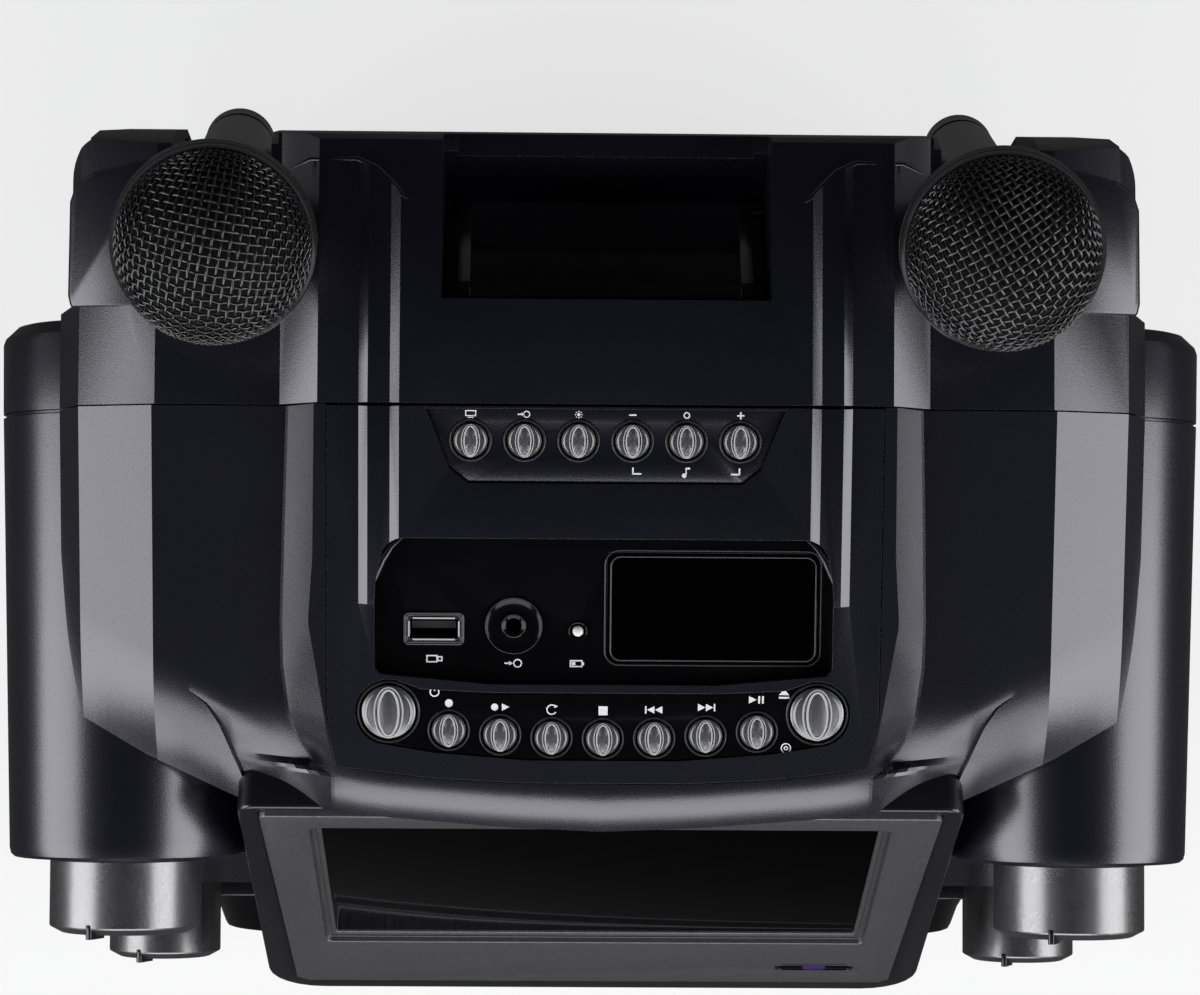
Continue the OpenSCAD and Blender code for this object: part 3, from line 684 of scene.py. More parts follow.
    @staticmethod
    def turned(name: str, profile: Sequence[Point], steps: int = 64) -> Piece:
        """Spins a profile round the Z axis into a closed solid.

        Args:
            name: Name of the new object.
            profile: Radius and height of each point.
            steps: Steps of a full turn.

        Returns:
            The new object.
        """
        points = [(r, 0.0, z) for r, z in profile]
        obj = Bench.mesh(name, points, [(i, i + 1) for i in range(len(points) - 1)])
        Bench.edit(obj, "VERT")
        bpy.ops.mesh.spin(steps=steps, angle=2 * math.pi, center=(0, 0, 0), axis=(0, 0, 1))
        return Bench.done(obj)

    @staticmethod
    def prism(name: str, outline: Sequence[Point], low: float, high: float) -> Piece:
        """Extrudes a flat outline between two heights.

        Args:
            name: Name of the new object.
            outline: X and Y of each corner.
            low: Height of its underside.
            high: Height of its top.

        Returns:
            The new object.
        """
        obj = Bench.mesh(name, [(x, y, low) for x, y in outline], faces=[tuple(range(len(outline)))])
        Bench.edit(obj)
        bpy.ops.mesh.extrude_region_move(TRANSFORM_OT_translate={"value": (0, 0, high - low)})
        return Bench.done(obj)

    @staticmethod
    def wires(
        name: str, lines: Iterable[Sequence[Point]], radius: float, sides: int = 1, closed: bool = False,
        taper: bool = False,
    ) -> Piece:
        """Round wires along lines of points.

        Args:
            name: Name of the new object.
            lines: The points of each wire.
            radius: Radius of the wire.
            sides: Bevel resolution of the wire; 0 gives four sides.
            closed: Whether each line closes on itself.
            taper: Whether each wire thins towards both ends.

        Returns:
            The wires as one mesh.
        """
        curve = bpy.data.curves.new(name, "CURVE")
        curve.dimensions = "3D"
        curve.bevel_depth = radius
        curve.bevel_resolution = sides
        curve.use_fill_caps = not closed
        for line in lines:
            spline = curve.splines.new("POLY")
            spline.points.add(len(line) - 1)
            for i, (point, at) in enumerate(zip(spline.points, line)):
                point.co = (*at, 1.0)
                point.radius = 0.15 + 0.85 * math.sin(math.pi * i / (len(line) - 1)) if taper else 1.0
            spline.use_cyclic_u = closed
        obj = bpy.data.objects.new(name, curve)
        bpy.context.scene.collection.objects.link(obj)
        Bench.hold(obj)
        bpy.ops.object.convert(target="MESH")
        return bpy.context.object

    @staticmethod
    def refined(name: str, node: str, width: float, segments: int = 2, angle: float = 25.0) -> Piece:
        """Copies a node's solid, merges its loose triangles and rounds its edges.

        Args:
            name: Name of the new object.
            node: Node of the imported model.
            width: Width of the rounding.
            segments: Steps of the rounding.
            angle: Edges sharper than this many degrees are rounded.

        Returns:
            The new object.
        """
        return Bench.soften(Bench.copied(name, node), width, segments, angle)

    @staticmethod
    def copied(name: str, node: str) -> Piece:
        """Copies a node's solid and merges its loose triangles.

        Args:
            name: Name of the new object.
            node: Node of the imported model.

        Returns:
            The new object.
        """
        Bench.clear()
        obj = bpy.data.objects.new(name, frame["nodes"][node].data.copy())
        bpy.context.scene.collection.objects.link(obj)
        Bench.edit(obj)
        bpy.ops.mesh.remove_doubles(threshold=0.000008)
        bpy.ops.mesh.dissolve_limited(angle_limit=math.radians(0.6))
        bpy.ops.object.mode_set(mode="OBJECT")
        return obj

    @staticmethod
    def cut(obj: Piece, cutter: Piece, crossing: bool = True) -> None:
        """Takes a cutter's shape off an object and deletes the cutter.

        Args:
            obj: The object.
            cutter: The cutter.
            crossing: Whether the object may cross itself.
        """
        Bench.modify(
            obj, "BOOLEAN", operation="DIFFERENCE", solver="EXACT", use_self=crossing, object=cutter
        )
        bpy.data.objects.remove(cutter)


def arc(
    x: float, y: float, radius: float, start: float, end: float, steps: int = 8
) -> list[tuple[float, float]]:
    """Points along an arc.

    Args:
        x: Centre's X.
        y: Centre's Y.
        radius: Radius.
        start: First angle in degrees.
        end: Last angle in degrees.
        steps: Number of steps.

    Returns:
        The points.
    """
    angles = [math.radians(start + (end - start) * i / steps) for i in range(steps + 1)]
    return [(x + radius * math.cos(a), y + radius * math.sin(a)) for a in angles]


def round_rect(
    x0: float, x1: float, y0: float, y1: float, radius: float, steps: int = 6
) -> list[tuple[float, float]]:
    """Outline of a rectangle with round corners.

    Args:
        x0: Left edge.
        x1: Right edge.
        y0: Lower edge.
        y1: Upper edge.
        radius: Corner radius.
        steps: Steps of a corner.

    Returns:
        The outline's points.
    """
    corners = ((x1, y1, 0), (x0, y1, 90), (x0, y0, 180), (x1, y0, 270))
    line = []
    for x, y, start in corners:
        cx = x - radius if x == x1 else x + radius
        cy = y - radius if y == y1 else y + radius
        line += arc(cx, cy, radius, start, start + 90, steps)
    return line


def shift(x: float, y: float, z: float) -> Matrix:
    """Move by X, Y and Z."""
    return Matrix.Translation((x, y, z))


def turn(degrees: float, axis: str) -> Matrix:
    """Turn about an axis through the origin."""
    return Matrix.Rotation(math.radians(degrees), 4, axis)


def deck_frame() -> Matrix:
    """Frame of the sloping deck: Y back along the slope from the seam, Z its normal."""
    return shift(0.0, 0.0355, 0.340) @ turn(10.0, "X")


def screen_frame() -> Matrix:
    """Frame of the screen: origin at the window's top edge, Y up the glass, Z out of it."""
    return shift(0.0, -0.076, 0.2984) @ turn(90 - 24.1, "X")


def mic_frame(side: Side) -> Matrix:
    """Frame of a microphone: origin in the collar, Z up its axis."""
    return shift(side.value * 0.1005, 0.0743, 0.365) @ turn(-side.value * 2.5, "Y") @ turn(18.0, "X")


def facing(x: float, y: float, z: float) -> Matrix:
    """Frame on a front face, with Z out towards -Y."""
    return shift(x, y, z) @ turn(90.0, "X")


@dataclass
class Assembly:
    """A group of pieces that is built in one go."""

    finishes: Finishes
    body: str = "machine"
    pieces: list[str] = field(default_factory=list, init=False)

    def keep(
        self, obj: Piece, finish: Optional[str], body: Optional[str] = None,
        slot: Optional[str] = None, nodes: Sequence[str] = (),
    ) -> Piece:
        """Finishes a piece and ties it to its body.

        Args:
            obj: The piece.
            finish: Its finish, or none if it is painted already.
            body: Body it rides on, if not this assembly's.
            slot: Not used.
            nodes: Nodes it stands for.

        Returns:
            The piece.
        """
        if finish:
            self.finishes.paint(obj, finish)
        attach(obj, body or self.body)
        if nodes:
            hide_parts(*nodes)
        self.pieces.append(obj.name)
        return obj

    def refine(
        self, node: str, finish: str, width: float = 0.0006, segments: int = 2, angle: float = 25.0,
        body: Optional[str] = None, slot: Optional[str] = None,
    ) -> Piece:
        """Replaces a node by its own shape with rounded edges.

        Args:
            node: The node.
            finish: Its finish.
            width: Width of the rounding.
            segments: Steps of the rounding.
            angle: Edges sharper than this many degrees are rounded.
            body: Body it rides on, if not this assembly's.
            slot: Material slot of the record.

        Returns:
            The new piece.
        """
        obj = Bench.refined(f"{node}_shell", node, width, segments, angle)
        return self.keep(obj, finish, body, slot, [node])

    def dress(self, finish: str, *nodes: str) -> None:
        """Gives nodes that keep their shape a finish.

        Args:
            finish: The finish.
            *nodes: The nodes.
        """
        for node in nodes:
            self.finishes.paint(frame["nodes"][node], finish)


# The machine


def ease(share: float) -> float:
    """Smooth step from 0 to 1."""
    share = min(max(share, 0.0), 1.0)
    return share * share * (3 - 2 * share)


def along(points: Sequence[tuple[float, float]], x: float) -> float:
    """Height of a broken line.

    Args:
        points: Corners of the line, with X rising.
        x: Place on the line.

    Returns:
        The line's Y there.
    """
    for (x0, y0), (x1, y1) in zip(points, points[1:]):
        if x <= x1:
            return y0 + (y1 - y0) * max(x - x0, 0.0) / (x1 - x0)
    return points[-1][1]


@dataclass(frozen=True)
class CoverForm:
    """Outer surface of the top covers, in millimetres."""

    deck: float = 340.0
    slope: float = 10.0
    seam: float = 35.5
    gap: float = 0.2
    drop: float = 9.5
    facet: float = 119.8
    corner: tuple[float, float] = (140.0, -17.0)
    side: float = 147.0
    shoulder: float = -32.0
    low: float = 290.0
    lip_low: float = 312.3
    lip_half: float = 98.8
    wing_nose: tuple[float, float] = (29.0, 11.5)
    hood_nose: tuple[float, float] = (11.5, 5.6)
    fold_depth: float = 1.6
    fold_width: float = 14.0
    front: tuple = (
        (0.0, -77.0), (25.0, -76.0), (60.0, -73.2), (99.0, -68.6), (122.4, -57.6), (145.3, -44.2),
        (147.0, -40.0),
    )
    band_inner: tuple = ((-63.0, 71.0), (-22.0, 78.0), (-5.0, 76.8), (35.5, 76.4))
    band_outer: tuple = (
        (-63.0, 71.1), (-59.3, 78.7), (-53.8, 83.1), (-47.1, 86.2), (-34.0, 87.7), (0.0, 87.0),
        (35.5, 85.6),
    )
    fold: tuple = (
        (-68.9, 95.7), (-63.0, 98.0), (-58.8, 99.8), (-53.1, 102.5), (-48.7, 106.0), (-46.6, 110.5)
    )

    def band(self, plan: float) -> tuple[float, float]:
        """Inner and outer edge of the sloping band beside the hood, narrowing to a tip in front."""
        inner = along(self.band_inner, plan)
        return inner, max(along(self.band_outer, plan), inner + 1.0)

    def section(self, x: float, plan: float) -> float:
        """Height above the plane of the deck, without the rounded front.

        Args:
            x: Distance from the middle.
            plan: Distance behind the origin, without the outline's curve.

        Returns:
            The height.
        """
        inner, outer = self.band(plan)
        foot = -min(self.drop, 1.6 * (outer - inner - 1.0))
        if x <= inner:
            return 0.0
        if x <= outer:
            return foot * min((x - inner) / (outer - inner) / 0.8, 1.0)
        if x <= self.facet:
            return foot - (self.drop + foot) * (1 - max(1 - (x - outer) / 26, 0.0) ** 2)
        if x <= self.corner[0]:
            return along(((self.facet, -self.drop), self.corner), x)
        return along((self.corner, (self.side, self.shoulder)), x)

    def height(self, x: float, y: float, plan: float) -> float:
        """Height of the front cover above the plane of the deck.

        Args:
            x: Distance from the middle.
            y: Distance behind the origin.
            plan: The same distance, without the outline's curve.

        Returns:
            The height.
        """
        edge = y - along(self.front, x)
        outer = 1 - 0.55 * ease((x - 112) / 30)
        falls = [
            outer * fall * max(1 - edge / reach, 0.0) ** 2.2
            for reach, fall in (self.hood_nose, self.wing_nose)
        ]
        share = ease((x - 64) / 24)
        level = self.section(x, plan) - falls[0] * (1 - share) - falls[1] * share
        inward = (x - along(self.fold, plan)) / self.fold_width + 1
        if 0 < inward < 0.99:
            level -= self.fold_depth * ease((-plan - 44) / 12) * inward**2
        return level

    def columns(self, plan: float) -> list[float]:
        """Places across one side where the surface is measured.

        Args:
            plan: Distance behind the origin, without the outline's curve.

        Returns:
            The places, from the middle outwards.
        """
        inner, outer = self.band(plan)
        fold = along(self.fold, plan)
        stops = (
            (inner, 10), (outer, 14), (fold - self.fold_width, 4), (fold - 0.4, 12), (fold, 1),
            (self.facet, 8), (self.corner[0], 6), (self.side, 4),
        )
        made = [0.0]
        for end, steps in stops:
            start = made[-1]
            made += [start + (max(end, start + 0.05) - start) * i / steps for i in range(1, steps + 1)]
        return made

    def plane(self, y: float) -> float:
        """Height of the hood, which falls towards the front from the seam."""
        return self.deck + (y - self.seam) * math.tan(math.radians(self.slope))

    def lip(self, x: float, z: float) -> float:
        """Height of the front cover's lower edge: above the screen housing it stops at once."""
        return min(self.lip_low if x < self.lip_half else self.low, z - 2.5)

    def front_rows(self) -> list[list[Point]]:
        """Points of the front cover's outer surface, row by row down the slope."""
        back = self.seam - self.gap
        shares = [0.62 * i / 24 for i in range(24)] + [0.62 + 0.38 * i / 44 for i in range(45)]
        rows = []
        for share in shares:
            plan = back + (-72.0 - back) * share
            half = []
            for x in self.columns(plan):
                y = back + (along(self.front, x) - back) * share
                half.append((x, y, self.plane(y) + self.height(x, y, plan)))
            rows.append(half)
        for share in (0.05, 0.5, 1.0):
            rows.append([(x, y, z + (self.lip(x, z) - z) * share) for x, y, z in rows[len(shares) - 1]])
        for row in rows:
            x, y, z = row[-1]
            row.append((x, y, min(self.low, z - 2.6)))
        return [[(-x, y, z) for x, y, z in row[:0:-1]] + row for row in rows]


@dataclass
class Cabinet(Assembly):
    """Lower cabinet, covers, side pods, base and feet."""

    edge: float = 0.0011
    wall: float = 0.0025
    rib_angle: float = 12
    pod_x: float = 0.132
    pod_z: float = 0.270
    in_mm: ClassVar[Matrix] = Matrix.Scale(MM, 4)

    def build(self) -> None:
        """Builds the shells of the machine."""
        self.refine("cabinet", "body_plastic", 0.0012, 3, 30)
        self.rear_cover()
        self.front_cover()
        self.refine("center_panel", "body_plastic", self.edge, 3, self.rib_angle)
        self.refine("front_baffle", "body_plastic", 0.0012, 3, 30)
        for side in Side:
            self.pod(side)
        self.refine("base_plate", "body_plastic", 0.0006)
        self.dress("foot_rubber", "feet")
        self.dress("bright_steel", "screws")

    def rear_cover(self) -> None:
        """Builds the rear cover: its ribs end at a soft arch, with shoulders over its sloping sides."""
        cover = Bench.copied("rear_top_cover_shell", "rear_top_cover")
        form, above, well = CoverForm(), 346.0, 39.6
        arch = [
            (44.0, 88.7), (50.4, 88.5), (53.6, 90.4), (57.0, 94.0), (60.5, 97.4), (65.5, 99.8),
            (78.0, 99.6), (83.0, 97.0)
        ]
        rib_ends = [*arch[:6], (72.0, 99.9), (72.0, 110.0), (well, 110.0), (well, 88.7)]
        for side in Side:
            outline = [(side.value * x, y) for x, y in rib_ends]
            if side.value < 0:
                outline.reverse()
            Bench.cut(cover, Bench.put(Bench.prism("rib_cutter", outline, form.deck, above), self.in_mm))
        corners = [(-well, 101.0), (well, 101.0), (well, 112.0), (-well, 112.0)]
        notch = Bench.prism("notch_cutter", corners, 321.0, above)
        Bench.cut(cover, Bench.put(notch, self.in_mm), crossing=False)
        Bench.soften(cover, self.edge, 3, self.rib_angle)
        self.keep(cover, "body_plastic", slot="body_plastic", nodes=["rear_top_cover"])
        flare = [(52.9, 0.9), (56.0, -1.6), (58.4, -5.0), (60.2, -9.0), (61.9, -13.0), (64.2, -18.6)]
        lines = []
        for side in Side:
            lines.append([(side.value * x, y, form.deck - 0.65) for x, y in arch])
            lines.append([(side.value * x, y, form.plane(y) - 0.5) for x, y in flare])
        ridge = Bench.wires("hood_ridges", lines, 1.1, 4, taper=True)
        Bench.put(ridge, self.in_mm)
        self.keep(Bench.smooth(ridge, 60), "body_plastic", slot="body_plastic")
        for side in Side:
            self.shoulder(side)

    def shoulder(self, side: Side) -> None:
        """Builds the block over one rear corner: nearly level, stepping down to the sloping side in front.

        Args:
            side: Side of the block.
        """
        plan = [
            (118.6, 61.5), (142.4, 61.5), (143.2, 65.0), (143.0, 90.0), (141.5, 94.5), (137.0, 97.6),
            (119.5, 101.5)
        ]
        foot, top, level_to, fall = 312.0, 330.6, 119, 0.3
        points = [(side.value * x, y, foot) for x, y in plan]
        points += [(side.value * x, y, top - fall * max(x - level_to, 0)) for x, y in plan]
        n = len(plan)
        faces = [tuple(range(n)), tuple(range(n, 2 * n))]
        faces += [(i, (i + 1) % n, n + (i + 1) % n, n + i) for i in range(n)]
        block = Bench.mesh(f"{side.word}_shoulder", points, faces=faces)
        Bench.put(block, self.in_mm)
        Bench.edit(block)
        Bench.done(block)
        self.keep(Bench.soften(block, 0.0012, 3, 20), "body_plastic", slot="body_plastic")

    def front_cover(self) -> None:
        """Builds the front cover as a thin shell and cuts it round its neighbours."""
        rows = CoverForm().front_rows()
        wide = len(rows[0])
        faces = [
            (r * wide + c, r * wide + c + 1, (r + 1) * wide + c + 1, (r + 1) * wide + c)
            for r in range(len(rows) - 1) for c in range(wide - 1)
        ]
        cover = Bench.mesh("front_cover_shell", [p for row in rows for p in row], faces=faces)
        Bench.put(cover, self.in_mm)
        Bench.edit(cover)
        bpy.ops.mesh.remove_doubles(threshold=0.00001)
        bpy.ops.mesh.dissolve_degenerate(threshold=0.00001)
        bpy.ops.mesh.normals_make_consistent(inside=False)
        bpy.ops.object.mode_set(mode="OBJECT")
        if max(cover.data.polygons, key=lambda p: p.area).normal.z < 0:
            cover.data.flip_normals()
        Bench.modify(cover, "SOLIDIFY", thickness=self.wall, offset=-1.0, use_even_offset=False)
        panel = [(73.25, 2.0), (73.25, -82.0), (70.25, -96.9), (45.0, -99.95), (22.0, -101.15)]
        outline = [(x * MM, y * MM) for x, y in panel] + [(-x * MM, y * MM) for x, y in panel[::-1]]
        cutters = [Bench.put(Bench.prism("panel_cutter", outline[::-1], -0.02, 0.02), deck_frame())]
        for side in Side:
            cone = Bench.turned(
                "pod_cutter", [(0, -0.062), (0.0362, -0.062), (0.0362, -0.056), (0.0324, 0.09), (0, 0.09)],
                96
            )
            cutters.append(Bench.put(cone, facing(side.value * self.pod_x, 0.0, self.pod_z)))
        for cutter in cutters:
            Bench.cut(cover, cutter)
        Bench.smooth(cover, 11)
        self.keep(cover, "body_plastic", slot="body_plastic", nodes=["front_top_cover"])

    def pod(self, side: Side) -> None:
        """Builds one side pod with its rim, joint groove and rounded rear end.

        Args:
            side: Side of the pod.
        """
        profile = [
            (0.0, -0.061), (0.0300, -0.061), (0.0318, -0.0605), (0.0352, -0.0572), (0.0358, -0.0555),
            (0.03555, -0.0362), (0.0347, -0.0359), (0.0347, -0.0353), (0.03552, -0.0350), (0.03226, 0.0815),
            (0.0322, 0.0840), (0.0318, 0.0856), (0.0309, 0.0864), (0.0295, 0.0865), (0.0293, 0.0859),
            (0.0285, 0.0859), (0.0283, 0.0865), (0.0, 0.0865),
        ]
        pod = Bench.turned(f"{side.word}_pod_shell", profile, 96)
        Bench.put(pod, facing(side.value * self.pod_x, 0.0, self.pod_z))
        Bench.smooth(pod, 25)
        self.keep(pod, "body_plastic", slot="body_plastic", nodes=[f"{side.word}_pod"])


@dataclass
class Buttons(Assembly):
    """The push buttons with their rings."""

    cap: float = 0.0046
    big_cap: float = 0.0073
    key_plate: float = -0.0008
    low_plate: float = -0.0006
    key_pitch: float = 0.01415
    key_row: float = 0.0096
    low_pitch: float = 0.0136
    low_row: float = 0.0889
    low_bow: float = 0.792
    big_x: float = 0.0567
    big_row: float = 0.082

    def build(self) -> None:
        """Models one small and one large button and copies them to their places."""
        small, small_ring = self.model("small_button", self.cap), self.ring("small_ring", self.cap)
        big, big_ring = self.model("big_button", self.big_cap), self.ring("big_ring", self.big_cap)
        for i in range(1, 7):
            x = (i - 3.5) * self.key_pitch
            self.fit(small, small_ring, f"key_button_{i}", x, self.key_row, self.key_plate)
        for i in range(1, 8):
            self.fit(small, small_ring, f"transport_button_{i}", *self.low_place(i), self.low_plate)
        self.fit(big, big_ring, "standby_button", -self.big_x, self.big_row, self.low_plate)
        self.fit(big, big_ring, "eject_button", self.big_x, self.big_row, self.low_plate)
        for obj in (small, small_ring, big, big_ring):
            bpy.data.objects.remove(obj)

    @classmethod
    def low_place(cls, number: int) -> tuple[float, float]:
        """Place of a lower button: across the deck, and down the slope from the seam."""
        x = (number - 4) * cls.low_pitch
        return x, cls.low_row - x * x / cls.low_bow

    def model(self, name: str, r: float) -> Piece:
        """Models a button: a domed cap, a long oval ridge and a raised oval pad, with pale lines painted on
        as highlights.

        Args:
            name: Name of the pattern.
            r: Radius of the cap.

        Returns:
            The button, with Z 0 in the plane of its panel.
        """
        cap = Bench.turned(
            name + "_cap",
            [(0, -0.0028), (r * 0.94, -0.0028), (r * 0.97, 0.0002), (r * 0.9, 0.0006), (0, 0.0008)],
            48,
        )
        ridge = Bench.turned(
            name + "_ridge", [(1, 0.0006), (0.9, 0.0011), (0.8, 0.0013), (0.74, 0.0009), (0, 0.0009)], 48
        )
        Bench.put(ridge, Matrix.Diagonal((r * 0.56, r * 0.93, 1, 1)))
        pad = Bench.turned(name + "_pad", [(1, 0.0008), (1, 0.0014), (0.86, 0.00165), (0, 0.00175)], 48)
        Bench.put(pad, Matrix.Diagonal((r * 0.36, r * 0.82, 1, 1)))
        for part in (cap, ridge, pad):
            self.finishes.paint(part, "button_metal")
        # Pale wires along the ridge and pad edges, and tapered pale arcs on both sides of the cap, are
        # painted highlights.
        highlight_lines = []
        angles = [math.tau * i / 48 for i in range(48)]
        ovals = (("outer", 0.51, 0.92, 0.0013, 0.032), ("inner", 0.36, 0.83, 0.00155, 0.045))
        for label, a, b, z, wire in ovals:
            line = [(r * a * math.cos(t), r * b * math.sin(t), z) for t in angles]
            highlight_lines.append(Bench.wires(f"{name}_{label}", [line], r * wire, 1, True))
        for s in (-1, 1):
            line = [(s * x, y, 0.0006) for x, y in arc(0, 0, r * 0.83, -48, 48, 16)]
            highlight_lines.append(Bench.wires(f"{name}_arc", [line], r * 0.05, 1, taper=True))
        for rim in highlight_lines:
            self.finishes.paint(rim, "edge_light")
        button = Bench.join(name, [cap, ridge, pad, *highlight_lines])
        return Bench.smooth(button, 40)

    def ring(self, name: str, r: float) -> Piece:
        """Models the ring that is let into the panel round a button.

        Args:
            name: Name of the pattern.
            r: Radius of the button's cap.

        Returns:
            The ring.
        """
        lip = r + 0.00105
        ring = Bench.turned(
            name,
            [(lip, -0.0003), (lip - 0.00005, 0.0003), (lip - 0.0003, 0.0005), (lip - 0.0005, 0.0002),
             (lip - 0.0007, -0.0004), (r + 0.0003, -0.0015), (lip, -0.0003)],
            48,
        )
        return Bench.smooth(ring, 50)

    def fit(self, button: Piece, ring: Piece, node: str, x: float, down: float, plate: float) -> None:
        """Puts a copy of a button and its ring in one place.

        Args:
            button: Pattern of the button.
            ring: Pattern of the ring.
            node: Node that the button stands for.
            x: Place across the deck.
            down: Distance down the slope from the seam.
            plate: Height of the panel's face.
        """
        where = deck_frame() @ shift(x, -down, plate)
        self.keep(Bench.twin(button, f"{node}_cap", where), None, node, "button_plastic", [node])
        self.keep(Bench.twin(ring, f"{node}_ring", where), "ring_metal", slot="button_plastic")


class Stencil:
    """Flat white symbols, gathered in one mesh."""

    def __init__(self) -> None:
        """Starts with nothing drawn."""
        self.points: list[Point] = []
        self.faces: list[tuple[int, ...]] = []

    def shape(self, corners: Sequence[Point]) -> None:
        """Adds a filled outline given anticlockwise."""
        first = len(self.points)
        self.points += [(x, y, 0.0) for x, y in corners]
        self.faces.append(tuple(range(first, first + len(corners))))

    def bar(self, x: float, y: float, width: float, height: float) -> None:
        """Adds a rectangle about a centre."""
        w, h = width / 2, height / 2
        self.shape([(x - w, y - h), (x + w, y - h), (x + w, y + h), (x - w, y + h)])

    def disc(self, x: float, y: float, radius: float) -> None:
        """Adds a filled circle."""
        self.shape(arc(x, y, radius, 0, 345, 23))

    def ring(
        self, x: float, y: float, radius: float, width: float, start: float = 0, end: float = 360
    ) -> None:
        """Adds a ring or part of one.

        Args:
            x: Centre's X.
            y: Centre's Y.
            radius: Middle radius.
            width: Width of the line.
            start: First angle in degrees.
            end: Last angle in degrees.
        """
        outer = arc(x, y, radius + width / 2, start, end, 24)
        inner = arc(x, y, radius - width / 2, start, end, 24)
        for i in range(24):
            self.shape([inner[i], outer[i], outer[i + 1], inner[i + 1]])

    def frame(self, x: float, y: float, width: float, height: float, line: float) -> None:
        """Adds a rectangle's outline about a centre."""
        for s in (-1, 1):
            self.bar(x, y + s * (height - line) / 2, width, line)
            self.bar(x + s * (width - line) / 2, y, line, height - 2 * line)

    def arrow(self, x: float, y: float, size: float, way: int = 1) -> None:
        """Adds a triangle that points right, or left with way -1."""
        back, half = x - way * size / 2, size / 2
        tip = [(x + way * half, y), (back, y + half), (back, y - half)]
        self.shape(tip if way > 0 else tip[::-1])

    def solid(self, name: str, thick: float) -> Piece:
        """Makes the symbols a mesh.

        Args:
            name: Name of the object.
            thick: Thickness of the ink.

        Returns:
            The symbols, with their underside at Z 0.
        """
        obj = Bench.mesh(name, self.points, faces=self.faces)
        Bench.edit(obj)
        bpy.ops.mesh.extrude_region_move(TRANSFORM_OT_translate={"value": (0, 0, thick)})
        return Bench.done(obj)


